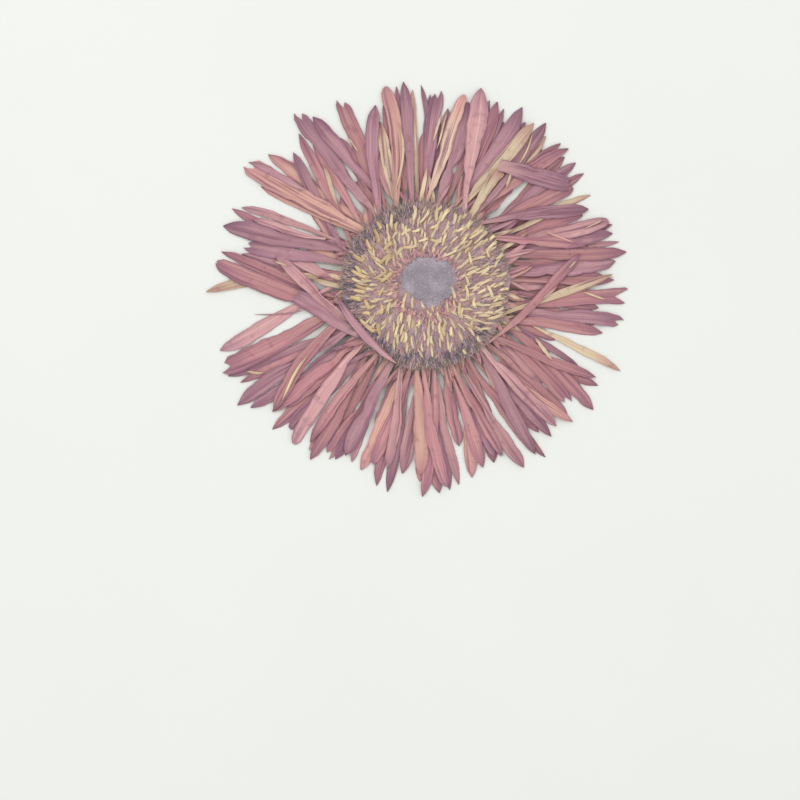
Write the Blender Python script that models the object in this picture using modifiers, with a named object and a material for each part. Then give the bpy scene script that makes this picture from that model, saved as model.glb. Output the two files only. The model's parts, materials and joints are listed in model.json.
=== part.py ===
"""Pressed daisy: one flower head, dried flat and lying face up.

Units are metres with +Z up. The origin is the middle of the stem scar on the back,
which is the flat spot that the head rests on. +X is to the right and +Y is to the top
of the flower as it is seen from above.
"""

import math
import random
from collections import namedtuple

import bmesh
import bpy
from mathutils import Matrix, Vector

MM = 0.001
SEED = 11

# The disc and the rim that the rays grow from, in mm.
DISC_RADIUS = 18.6
RAY_ROOT_RADIUS = 15.8
RIM_RADIUS = 18.0
FLAT_RADIUS = 27.0

# Rays: blade thickness, how far a blade sinks from the rim to where it lies flat, and
# the height of the middle of the outer and inner blades where they lie flat, in mm. A
# blade is one step higher for each level and a little higher than its neighbours, so
# that no two faces that cross lie in one plane.
BLADE_THICKNESS = 0.6
BLADE_FALL = 1.0
OUTER_RAY_HEIGHT = 0.45
INNER_RAY_HEIGHT = 1.62
LEVEL_STEP = 0.04
MIDDLE_LEVEL = 2
NEIGHBOUR_STEP = 0.004
NEIGHBOURS = 13

# A ray's width along its length, as parts of its length and of its full width, and the
# points that close its end, as parts of its length and, to the left, of its width.
POINTED_PROFILE = ((0.0, 0.34), (0.3, 0.64), (0.66, 1.0), (0.9, 0.72))
TOOTHED_PROFILE = ((0.0, 0.34), (0.3, 0.64), (0.66, 1.0), (0.9, 0.84))
BLUNT_PROFILE = ((0.0, 0.4), (0.4, 0.8), (0.98, 0.95))
RAY_ENDS = {
    "point": (POINTED_PROFILE, ((1.0, 0.0),)),
    "round": (POINTED_PROFILE, ((0.97, 0.22), (1.0, 0.0), (0.97, -0.22))),
    "two": (TOOTHED_PROFILE, ((1.0, 0.27), (0.95, 0.0), (0.98, -0.27))),
    "fork": (TOOTHED_PROFILE, ((1.0, 0.55), (0.9, 0.0), (0.98, -0.55))),
    "blunt": (BLUNT_PROFILE, ()),
}

# Where the rays' rings, the disc and the bracts lie, in mm.
RING_INNER_RADIUS = 13.2
RING_OUTER_RADIUS = 17.4
RING_SIDES = 40
HUB_RADIUS = 12.8
HUB_TOP = 3.06
SCAR_RADIUS = 3.6
BACK_HEIGHT = 0.2
DISC_BOTTOM = 3.36
DISC_TOP = 3.86
DISC_HOLE_RADIUS = 6.4
DISC_SIDES = 40

# Florets: how many, where their ring begins and ends, their length and the widths of
# their roots and mouths. The fringe and the slivers round the rim follow, in mm.
FLORET_COUNT = 118
FLORET_INNER_RADIUS = 7.9
FLORET_OUTER_RADIUS = 16.6
FLORET_LENGTH = 3.0
FLORET_WIDTHS = (0.7, 1.0)
FLORET_RISE = 0.34
FLORET_SWAY = 0.5
FRINGE_COUNT = 36
FRINGE_LENGTH = 2.6
FRINGE_WIDTHS = (0.9, 0.3)
SLIVER_COUNT = 22
SLIVER_ROOT_RADIUS = 16.8
SLIVER_LENGTHS = (3.5, 6.5)
SLIVER_WIDTHS = (1.1, 0.5)
SLIVER_SWAY = 0.25
GOLDEN_ANGLE = math.pi * (3.0 - math.sqrt(5.0))

# The felted middle of the disc and the closed buds on it, in mm.
CENTRE_RADIUS = 5.9
CENTRE_HEIGHT = 4.4
CENTRE_DROP = 0.5
CENTRE_SIDES = 24
BUD_COUNT = 30
BUD_LENGTH = 0.9
BUD_WIDTHS = (1.1, 0.4)
BUD_LEAN = 0.3

# Bracts on the back: rows of (count, root radius, reach, width, height), in mm, and
# their outline, as parts of their length and, to the left, of their width.
BRACT_ROWS = ((16, 9.5, 17.8, 3.6, 0.36), (12, 5.0, 13.0, 3.4, 0.32))
BRACT_OUTLINE = ((0.0, 0.5), (0.0, -0.5), (0.35, -0.5), (1.0, 0.0), (0.35, 0.5))

Ray = namedtuple("Ray", "root tip reach width bow end level")

# Rays of the lower layer, in order of their roots. Bearings are in degrees from +X,
# reach from the middle, width and bow to the left in mm, and level is 0, low, to 4.
OUTER_RAYS = (
    Ray(-36, -34.0, 41.0, 2.6, 0.0, "point", 0),
    Ray(-32, -29.7, 43.8, 2.0, 0.0, "point", 1),
    Ray(-28, -15.4, 40.5, 3.6, 0.4, "point", 4),
    Ray(-21, -37.2, 45.9, 3.6, -0.6, "point", 2),
    Ray(-19, -10.4, 44.4, 3.4, 0.4, "two", 3),
    Ray(-17, -2.9, 44.5, 2.7, 0.3, "fork", 2),
    Ray(-15, -24.0, 46.8, 2.0, 0.0, "point", 1),
    Ray(-15, -27.2, 38.0, 2.3, 0.0, "point", 2),
    Ray(-13, -12.0, 39.0, 2.8, 0.0, "point", 0),
    Ray(-7, 0.5, 40.0, 2.6, 0.0, "point", 0),
    Ray(-3, -7.5, 40.5, 2.8, 0.0, "point", 0),
    Ray(3, 6.6, 42.1, 2.8, 0.0, "point", 2),
    Ray(5, 3.0, 39.5, 2.8, 0.0, "point", 0),
    Ray(9, 13.5, 38.0, 2.4, 0.0, "point", 0),
    Ray(15, 10.0, 44.9, 3.0, 0.0, "point", 3),
    Ray(20, 7.5, 38.5, 2.6, 0.0, "point", 1),
    Ray(21, 12.6, 43.8, 1.5, 0.0, "point", 1),
    Ray(25, 15.8, 42.5, 2.8, 0.0, "point", 3),
    Ray(27, 18.0, 43.3, 2.4, 0.0, "point", 2),
    Ray(29, 20.2, 42.9, 3.2, 0.0, "round", 4),
    Ray(31, 13.0, 37.5, 2.4, 0.0, "point", 1),
    Ray(33, 24.5, 38.0, 2.8, 0.0, "point", 0),
    Ray(36, 29.0, 41.7, 1.5, 0.0, "point", 2),
    Ray(37, 31.5, 37.0, 2.4, 0.0, "point", 0),
    Ray(39, 39.4, 42.8, 2.5, 0.0, "point", 2),
    Ray(40, 35.4, 42.8, 2.3, 0.0, "point", 1),
    Ray(40, 44.5, 43.7, 3.1, 0.0, "point", 3),
    Ray(42, 46.8, 43.4, 2.1, 0.0, "point", 2),
    Ray(46, 33.8, 39.3, 3.2, 0.0, "round", 4),
    Ray(46, 50.7, 42.3, 2.4, 0.0, "point", 1),
    Ray(48, 53.4, 44.6, 3.1, 0.0, "point", 3),
    Ray(53, 48.5, 39.5, 2.6, 0.0, "point", 0),
    Ray(56, 57.0, 41.0, 2.8, 0.0, "point", 0),
    Ray(61, 64.5, 40.0, 2.8, 0.0, "point", 0),
    Ray(63, 58.8, 42.0, 1.8, 0.0, "point", 1),
    Ray(66, 70.9, 43.3, 1.8, 0.0, "point", 2),
    Ray(67, 68.5, 43.5, 2.8, 0.0, "point", 3),
    Ray(69, 66.2, 42.6, 1.7, 0.0, "point", 1),
    Ray(71, 61.7, 44.7, 3.3, 0.5, "point", 4),
    Ray(74, 82.5, 38.6, 2.6, 0.0, "point", 2),
    Ray(77, 70.0, 40.5, 2.6, 0.0, "point", 0),
    Ray(79, 75.5, 43.6, 3.9, 0.0, "round", 3),
    Ray(83, 79.0, 39.5, 2.6, 0.0, "point", 0),
    Ray(86, 90.0, 37.5, 2.2, 0.0, "point", 0),
    Ray(91, 88.5, 42.1, 1.6, 0.0, "point", 1),
    Ray(95, 93.8, 43.2, 2.2, 0.3, "point", 1),
    Ray(96, 86.0, 43.0, 2.9, -0.5, "two", 3),
    Ray(98, 91.2, 44.2, 1.6, -2.0, "point", 2),
    Ray(103, 101.5, 40.0, 2.2, 0.0, "point", 0),
    Ray(104, 98.3, 44.3, 1.7, 0.0, "point", 1),
    Ray(108, 111.0, 34.0, 2.4, 0.0, "point", 0),
    Ray(111, 105.2, 37.9, 2.5, 0.0, "point", 2),
    Ray(113, 122.9, 44.7, 3.4, 0.0, "point", 4),
    Ray(117, 113.8, 45.2, 3.6, 0.0, "two", 3),
    Ray(121, 118.5, 38.5, 2.6, 0.0, "point", 0),
    Ray(126, 127.5, 47.5, 3.2, 0.0, "two", 3),
    Ray(127, 140.4, 45.0, 2.7, 0.0, "point", 1),
    Ray(130, 126.0, 38.0, 2.3, 0.0, "point", 0),
    Ray(139, 127.8, 41.0, 2.1, 0.0, "point", 2),
    Ray(144, 138.0, 37.0, 2.2, 0.0, "point", 0),
    Ray(148, 150.0, 28.0, 2.2, 0.0, "point", 0),
    Ray(151, 129.8, 43.4, 2.3, 0.0, "point", 4),
    Ray(153, 158.2, 46.0, 2.3, 0.0, "point", 2),
    Ray(156, 156.5, 43.9, 1.7, -1.7, "point", 3),
    Ray(157, 162.8, 46.4, 4.2, -0.4, "point", 4),
    Ray(159, 134.7, 41.2, 2.4, 0.0, "point", 3),
    Ray(162, 167.0, 40.0, 3.0, 0.0, "point", 0),
    Ray(166, 157.5, 33.0, 2.6, 0.0, "point", 1),
    Ray(168, 175.5, 38.5, 3.0, 0.0, "point", 0),
    Ray(171, 181.6, 48.2, 2.6, 0.0, "point", 1),
    Ray(176, 170.3, 41.0, 1.9, 0.0, "point", 1),
    Ray(176, 198.2, 47.3, 3.8, 0.4, "point", 3),
    Ray(181, 178.0, 36.0, 2.6, 0.0, "point", 1),
    Ray(183, 165.0, 37.0, 2.8, 0.0, "point", 2),
    Ray(184, 187.0, 27.5, 2.2, 0.0, "point", 0),
    Ray(188, 170.2, 45.3, 1.9, 0.0, "point", 2),
    Ray(192, 202.0, 48.6, 4.1, 0.0, "two", 2),
    Ray(196, 173.8, 46.4, 4.1, 0.3, "point", 4),
    Ray(199, 204.7, 47.6, 2.8, 0.0, "point", 1),
    Ray(199, 209.0, 41.0, 3.0, 0.0, "point", 0),
    Ray(204, 208.2, 46.1, 2.5, 0.0, "point", 2),
    Ray(205, 213.0, 40.0, 2.8, 0.0, "point", 0),
    Ray(208, 211.9, 49.0, 3.3, 0.0, "point", 3),
    Ray(213, 215.2, 46.8, 2.6, 0.0, "point", 1),
    Ray(216, 219.0, 43.0, 2.8, 0.0, "point", 2),
    Ray(220, 217.0, 39.0, 2.8, 0.0, "point", 1),
)

# Rays of the upper layer, in the same terms.
INNER_RAYS = (
    Ray(-36, -28.0, 42.6, 2.6, 0.0, "point", 3),
    Ray(-31, 11.5, 34.8, 2.5, 0.0, "point", 4),
    Ray(-19, 2.8, 41.6, 2.1, 0.0, "point", 1),
    Ray(42, 14.5, 36.5, 2.4, 0.0, "point", 2),
    Ray(43, 25.2, 39.6, 2.9, 0.9, "point", 3),
    Ray(58, 74.0, 44.9, 3.4, 0.0, "round", 4),
    Ray(68, 56.4, 43.0, 2.3, 0.0, "point", 2),
    Ray(91, 78.3, 43.0, 2.7, 0.0, "point", 3),
    Ray(100, 95.7, 45.1, 2.9, 0.0, "point", 3),
    Ray(114, 100.8, 45.0, 3.1, -1.4, "round", 4),
    Ray(127, 105.0, 41.2, 3.1, 1.25, "point", 3),
    Ray(140, 144.9, 48.0, 4.9, 0.0, "two", 4),
    Ray(141, 149.2, 42.0, 1.9, 0.0, "point", 3),
    Ray(206, 167.4, 41.0, 3.0, -1.5, "point", 3),
    Ray(209, 184.0, 28.6, 2.8, 0.0, "blunt", 4),
    Ray(209, 221.0, 42.5, 2.7, -2.2, "point", 2),
    Ray(241, 190.0, 22.5, 2.2, 1.6, "point", 4),
)

# One upper ray is bent over on itself: its stem end, then its turned end, whose root
# lies at the fold and not at the rim. The fold is a bearing and a radius.
FOLD_BEARING = 57.0
FOLD_RADIUS = 29.4
FOLDED_STEM = Ray(57.5, FOLD_BEARING, FOLD_RADIUS + 1.4, 2.3, 0.0, "blunt", 3)
FOLDED_END = Ray(FOLD_BEARING, 36.0, 38.7, 3.1, 0.7, "round", 4)


def hidden_rays(first, last, count, nearest, furthest, seed):
    """Rays where nothing of the real ones shows: evenly spread, with seeded sway."""
    draw = random.Random(seed)
    rays = []
    for index in range(count):
        tip = first + (last - first) * (index + draw.uniform(0.15, 0.85)) / count
        root = tip + draw.uniform(-10.0, 10.0)
        reach = draw.uniform(nearest, furthest)
        width = draw.uniform(2.3, 3.8)
        bow = draw.uniform(-0.9, 0.9)
        end = draw.choice(("point", "point", "point", "round", "two"))
        rays.append(Ray(root, tip, reach, width, bow, end, index % 5))
    return tuple(rays)


OUTER_HIDDEN = hidden_rays(222.0, 323.0, 25, 40.5, 46.5, SEED)
INNER_HIDDEN = hidden_rays(228.0, 320.0, 8, 38.0, 45.0, SEED + 1)


def clear_scene():
    """Start from nothing, whatever the file held."""
    for item in list(bpy.data.objects):
        bpy.data.objects.remove(item, do_unlink=True)


def new_collection(name):
    """A collection in the scene."""
    group = bpy.data.collections.new(name)
    bpy.context.scene.collection.children.link(group)
    return group


def plain_material(name, colour, roughness):
    """A Principled material with one colour."""
    material = bpy.data.materials.new(name)
    material.use_nodes = True
    shader = material.node_tree.nodes["Principled BSDF"]
    shader.inputs["Base Color"].default_value = (*colour, 1.0)
    shader.inputs["Roughness"].default_value = roughness
    shader.inputs["Metallic"].default_value = 0.0
    return material


def object_from_bmesh(name, shape, group):
    """Turn a bmesh into an object of its own in a collection."""
    mesh = bpy.data.meshes.new(name)
    shape.to_mesh(mesh)
    shape.free()
    item = bpy.data.objects.new(name, mesh)
    group.objects.link(item)
    return item


def freeze(item):
    """Replace an object's mesh by what its modifiers make of it."""
    depsgraph = bpy.context.evaluated_depsgraph_get()
    mesh = bpy.data.meshes.new_from_object(item.evaluated_get(depsgraph))
    item.modifiers.clear()
    item.data = mesh


def at(bearing, radius):
    """The point at a bearing in degrees and a radius, in the plane."""
    angle = math.radians(bearing)
    return Vector((radius * math.cos(angle), radius * math.sin(angle)))


def blade_height(radius, flat_height):
    """Height of a blade's middle: raised at the rim, sinking to where it lies flat."""
    share = (radius - RIM_RADIUS) / (FLAT_RADIUS - RIM_RADIUS)
    share = min(max(share, 0.0), 1.0)
    return flat_height + BLADE_FALL * (1.0 - share * share * (3.0 - 2.0 * share))


def ray_middle(ray, root_radius, share):
    """A point on a ray's midrib and the direction to its left there."""
    start = at(ray.root, root_radius)
    along = at(ray.tip, ray.reach) - start
    left = Vector((-along.y, along.x)).normalized()
    middle = start + along * share + left * (4.0 * share * (1.0 - share) * ray.bow)
    slope = along + left * (4.0 * (1.0 - 2.0 * share) * ray.bow)
    return middle, Vector((-slope.y, slope.x)).normalized()


def ray_point(ray, root_radius, share, side):
    """A point at a part of a ray's length and, to the left, a part of its width."""
    middle, left = ray_middle(ray, root_radius, share)
    return middle + left * (ray.width * side)


def blade_lift(ray, index):
    """How far a blade's middle lies over its layer's own height."""
    return (ray.level - MIDDLE_LEVEL) * LEVEL_STEP + (index % NEIGHBOURS) * NEIGHBOUR_STEP


def add_blade(name, ray, lift, group, root_radius=RAY_ROOT_RADIUS):
    """One ray as an open surface in triangles, thickened to a blade."""
    shape = bmesh.new()

    def corner(share, side):
        point = ray_point(ray, root_radius, share, side)
        height = blade_height(point.length, lift)
        return shape.verts.new(Vector((point.x, point.y, height)) * MM)

    profile, closing = RAY_ENDS[ray.end]
    pairs = [(corner(share, part / 2.0), corner(share, -part / 2.0)) for share, part in profile]
    for (near_left, near_right), (far_left, far_right) in zip(pairs, pairs[1:]):
        shape.faces.new((near_left, near_right, far_right))
        shape.faces.new((near_left, far_right, far_left))
    last_left, last_right = pairs[-1]
    end = [corner(share, side) for share, side in closing]
    if len(end) == 1:
        shape.faces.new((last_left, last_right, end[0]))
    if len(end) == 3:
        shape.faces.new((last_left, end[1], end[0]))
        shape.faces.new((last_left, last_right, end[1]))
        shape.faces.new((last_right, end[2], end[1]))
    item = object_from_bmesh(name, shape, group)
    solid = item.modifiers.new("Thickness", "SOLIDIFY")
    solid.thickness = BLADE_THICKNESS * MM
    solid.offset = 0.0
    freeze(item)


def add_turned(name, profile, sides, group):
    """A turned solid from a closed profile of (radius, height) points in mm."""
    shape = bmesh.new()
    points = [shape.verts.new((radius * MM, 0.0, height * MM)) for radius, height in profile]
    for start, end in zip(points, points[1:] + points[:1]):
        if start.co.x > 0.0 or end.co.x > 0.0:
            shape.edges.new((start, end))
    item = object_from_bmesh(name, shape, group)
    screw = item.modifiers.new("Turn", "SCREW")
    screw.steps = sides
    screw.render_steps = sides
    screw.use_merge_vertices = True
    screw.merge_threshold = 0.00001
    freeze(item)
    return item


def fuse(body, group, material):
    """Join a body with everything in a collection, and remove the collection."""
    union = body.modifiers.new("Union", "BOOLEAN")
    union.operation = "UNION"
    union.operand_type = "COLLECTION"
    union.collection = group
    union.solver = "EXACT"
    freeze(body)
    for item in list(group.objects):
        bpy.data.objects.remove(item, do_unlink=True)
    bpy.data.collections.remove(group)
    body.data.materials.clear()
    body.data.materials.append(material)
    body.data.shade_smooth()
    body.data.set_sharp_from_angle(angle=math.radians(40.0))


def build_rays(name, rays, flat_height, parts, material):
    """A layer of rays, fused to the ring of tissue that they grow from."""
    middle = flat_height + BLADE_FALL
    half = BLADE_THICKNESS / 2.0 + LEVEL_STEP * MIDDLE_LEVEL + NEIGHBOUR_STEP * (NEIGHBOURS + 1)
    profile = (
        (RING_OUTER_RADIUS, middle + half),
        (RING_OUTER_RADIUS, middle - half),
        (RING_INNER_RADIUS, middle - half),
        (RING_INNER_RADIUS, middle + half),
    )
    ring = add_turned(name, profile, RING_SIDES, parts)
    group = new_collection(name + "_blades")
    for index, ray in enumerate(rays):
        add_blade(f"{name}_{index}", ray, flat_height + blade_lift(ray, index), group)
    if name == "inner_rays":
        stem, end = FOLDED_STEM, FOLDED_END
        add_blade("folded_stem", stem, flat_height + blade_lift(stem, 1), group)
        add_blade("folded_end", end, flat_height + blade_lift(end, 4), group, FOLD_RADIUS)
    fuse(ring, group, material)


def add_spine(name, middle, direction, length, widths, group):
    """A three-sided rod lying along a direction, with its two ends' widths, in mm."""
    shape = bmesh.new()
    root, mouth = (width * MM / 2.0 for width in widths)
    bmesh.ops.create_cone(
        shape, cap_ends=True, segments=3, radius1=root, radius2=mouth, depth=length * MM,
    )
    turn = Vector(direction).to_track_quat("Z", "X").to_matrix().to_4x4()
    place = Matrix.Translation(Vector(middle) * MM) @ turn
    bmesh.ops.transform(shape, matrix=place, verts=shape.verts)
    object_from_bmesh(name, shape, group)


def on_disc(angle, radius, height):
    """A point in mm from its angle in radians, its radius and its height."""
    return (radius * math.cos(angle), radius * math.sin(angle), height)


def add_florets(draw, group):
    """Open florets in a spiral, lying outwards over the bed with some sway."""
    inner, outer = FLORET_INNER_RADIUS ** 2, FLORET_OUTER_RADIUS ** 2
    for index in range(FLORET_COUNT):
        radius = math.sqrt(inner + (outer - inner) * (index + 0.5) / FLORET_COUNT)
        angle = index * GOLDEN_ANGLE + draw.uniform(-0.08, 0.08)
        middle = on_disc(angle, radius, DISC_TOP + FLORET_RISE)
        lean = angle + draw.uniform(-FLORET_SWAY, FLORET_SWAY)
        direction = on_disc(lean, 1.0, draw.uniform(0.02, 0.14))
        add_spine(f"floret_{index}", middle, direction, FLORET_LENGTH, FLORET_WIDTHS, group)


def add_fringe(draw, group):
    """Fine bristles that stand out from the rim of the disc."""
    for index in range(FRINGE_COUNT):
        angle = math.tau * (index + draw.uniform(-0.2, 0.2)) / FRINGE_COUNT
        middle = on_disc(angle, DISC_RADIUS - 0.5, DISC_TOP - 0.1)
        direction = on_disc(angle, 1.0, 0.0)
        add_spine(f"fringe_{index}", middle, direction, FRINGE_LENGTH, FRINGE_WIDTHS, group)


def add_slivers(draw, group):
    """Short inner petals that reach out from under the rim of the disc."""
    for index in range(SLIVER_COUNT):
        angle = math.tau * (index + draw.uniform(0.1, 0.9)) / SLIVER_COUNT
        length = draw.uniform(*SLIVER_LENGTHS)
        middle = on_disc(angle, SLIVER_ROOT_RADIUS + length / 2.0, DISC_TOP - 0.15)
        direction = on_disc(angle + draw.uniform(-SLIVER_SWAY, SLIVER_SWAY), 1.0, 0.0)
        add_spine(f"sliver_{index}", middle, direction, length, SLIVER_WIDTHS, group)


def build_disc_florets(parts, material):
    """The disc's low bed with the florets over it, and the fringe and slivers round it."""
    draw = random.Random(SEED + 2)
    profile = (
        (DISC_HOLE_RADIUS, DISC_TOP),
        (DISC_HOLE_RADIUS + 3.0, DISC_TOP + 0.25),
        (DISC_RADIUS - 3.0, DISC_TOP + 0.2),
        (DISC_RADIUS - 0.4, DISC_TOP - 0.1),
        (DISC_RADIUS, DISC_BOTTOM + 0.15),
        (DISC_RADIUS - 0.8, DISC_BOTTOM),
        (DISC_HOLE_RADIUS, DISC_BOTTOM),
    )
    bed = add_turned("disc_florets", profile, DISC_SIDES, parts)
    group = new_collection("floret_rods")
    add_florets(draw, group)
    add_fringe(draw, group)
    add_slivers(draw, group)
    fuse(bed, group, material)


def build_disc_centre(parts, material):
    """The felted middle of the disc: a low dome set with closed buds."""
    profile = (
        (0.0, CENTRE_HEIGHT),
        (CENTRE_RADIUS * 0.45, CENTRE_HEIGHT - 0.12),
        (CENTRE_RADIUS * 0.8, CENTRE_HEIGHT - 0.42),
        (CENTRE_RADIUS, DISC_TOP - 0.1),
        (CENTRE_RADIUS, DISC_BOTTOM),
        (0.0, DISC_BOTTOM),
    )
    dome = add_turned("disc_centre", profile, CENTRE_SIDES, parts)
    group = new_collection("centre_buds")
    for index in range(BUD_COUNT):
        share = (index + 0.5) / BUD_COUNT
        radius = (CENTRE_RADIUS - 0.7) * math.sqrt(share)
        angle = index * GOLDEN_ANGLE
        middle = on_disc(angle, radius, CENTRE_HEIGHT - CENTRE_DROP * share)
        direction = on_disc(angle, BUD_LEAN, 1.0)
        add_spine(f"bud_{index}", middle, direction, BUD_LENGTH, BUD_WIDTHS, group)
    fuse(dome, group, material)


def build_involucre(parts, material):
    """The back: the receptacle with the stem scar under it and two rows of bracts."""
    profile = (
        (0.0, HUB_TOP),
        (HUB_RADIUS - 0.6, HUB_TOP),
        (HUB_RADIUS, HUB_TOP - 0.5),
        (HUB_RADIUS, BACK_HEIGHT + 0.2),
        (HUB_RADIUS - 1.5, BACK_HEIGHT),
        (SCAR_RADIUS + 0.3, BACK_HEIGHT),
        (SCAR_RADIUS, 0.0),
        (0.0, 0.0),
    )
    pad = add_turned("involucre", profile, RING_SIDES, parts)
    group = new_collection("bracts")
    for row, (count, root, reach, width, height) in enumerate(BRACT_ROWS):
        for index in range(count):
            bearing = 360.0 * (index + 0.5 * row) / count
            bract = Ray(bearing, bearing, reach, width, 0.0, "point", MIDDLE_LEVEL)
            add_bract(f"bract_{row}_{index}", bract, root, height, group)
    fuse(pad, group, material)


def add_bract(name, bract, root, height, group):
    """A bract: a short blade that stays level under the rays."""
    shape = bmesh.new()

    def corner(point):
        return shape.verts.new(Vector((point.x, point.y, height)) * MM)

    points = [ray_point(bract, root, share, side) for share, side in BRACT_OUTLINE]
    shape.faces.new([corner(point) for point in points])
    item = object_from_bmesh(name, shape, group)
    solid = item.modifiers.new("Thickness", "SOLIDIFY")
    solid.thickness = BLADE_THICKNESS * MM
    solid.offset = 0.0
    freeze(item)


def main():
    """Build every piece of the flower head."""
    clear_scene()
    parts = new_collection("pressed_daisy")
    rose = plain_material("dried_ray", (0.36, 0.10, 0.09), 0.75)
    brick = plain_material("dried_ray_back", (0.28, 0.075, 0.08), 0.78)
    ochre = plain_material("floret_yellow", (0.60, 0.44, 0.17), 0.8)
    mauve = plain_material("felted_centre", (0.20, 0.16, 0.20), 0.9)
    green = plain_material("dried_bract", (0.20, 0.17, 0.08), 0.8)
    build_involucre(parts, green)
    build_rays("outer_rays", OUTER_RAYS + OUTER_HIDDEN, OUTER_RAY_HEIGHT, parts, brick)
    build_rays("inner_rays", INNER_RAYS + INNER_HIDDEN, INNER_RAY_HEIGHT, parts, rose)
    build_disc_florets(parts, ochre)
    build_disc_centre(parts, mauve)


if __name__ == "__main__":
    main()
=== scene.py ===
"""The dressed model of a dried, pressed flower head: petals, disc and back, and a plain stage.

Sizes are in millimetres in the tables below and in the properties, and in metres in the
meshes. +X is to the right, +Y to the top and +Z up out of the flower's face.
"""

import json
import math
import random
from collections import namedtuple

import bmesh
import bpy
import numpy as np
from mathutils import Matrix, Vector

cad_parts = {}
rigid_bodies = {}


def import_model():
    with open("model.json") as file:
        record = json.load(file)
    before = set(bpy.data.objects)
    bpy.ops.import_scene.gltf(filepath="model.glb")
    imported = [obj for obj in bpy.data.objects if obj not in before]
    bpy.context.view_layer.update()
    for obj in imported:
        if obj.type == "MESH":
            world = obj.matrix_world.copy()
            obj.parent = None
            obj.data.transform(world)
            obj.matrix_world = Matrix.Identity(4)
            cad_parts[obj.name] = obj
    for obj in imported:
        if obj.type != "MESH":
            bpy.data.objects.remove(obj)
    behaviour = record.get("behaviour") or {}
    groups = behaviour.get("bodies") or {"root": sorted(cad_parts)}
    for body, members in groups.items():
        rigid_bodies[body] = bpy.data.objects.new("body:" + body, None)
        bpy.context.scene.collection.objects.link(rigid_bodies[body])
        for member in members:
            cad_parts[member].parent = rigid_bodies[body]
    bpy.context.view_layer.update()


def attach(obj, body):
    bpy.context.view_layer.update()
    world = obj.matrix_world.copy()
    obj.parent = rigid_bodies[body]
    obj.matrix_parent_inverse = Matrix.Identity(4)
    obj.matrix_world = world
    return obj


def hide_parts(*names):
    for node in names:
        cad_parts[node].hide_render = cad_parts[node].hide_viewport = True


bl_info = {
    "name": "Pressed Daisy",
    "version": (1, 0, 0),
    "blender": (4, 5, 0),
    "location": "View3D > Sidebar > Pressed Daisy",
    "description": "Builds a dried, pressed flower head petal by petal and floret by floret",
    "category": "Add Mesh",
}

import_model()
MM = 0.001
BODY = "root"

# The first of the seeds that everything random counts on from.
SEED = 11

# The stack of petals, in mm: where they root, where they lie flat, where they leave the rim
# of the disc, how high the two layers start under it, and how far all of it is off the floor.
ROOT_RADIUS = 15.6
FLAT_RADIUS = 28.0
RIM_RADIUS = 17.5
LOWER_ROOT_HEIGHT = 1.15
UPPER_ROOT_HEIGHT = 2.3
FLOOR_GAP = 0.04

# Points along and across the mesh of a long petal, of a short one and of a folded edge, and
# how many times more finely a petal is read when it goes on the stack.
LONG_GRID = (34, 11)
SHORT_GRID = (10, 5)
EDGE_GRID = (22, 5)
FINER_BY = (5, 3)

Petal = namedtuple(
    "Petal", "root tip reach width bow end tone level start", defaults=(ROOT_RADIUS,)
)

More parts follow.
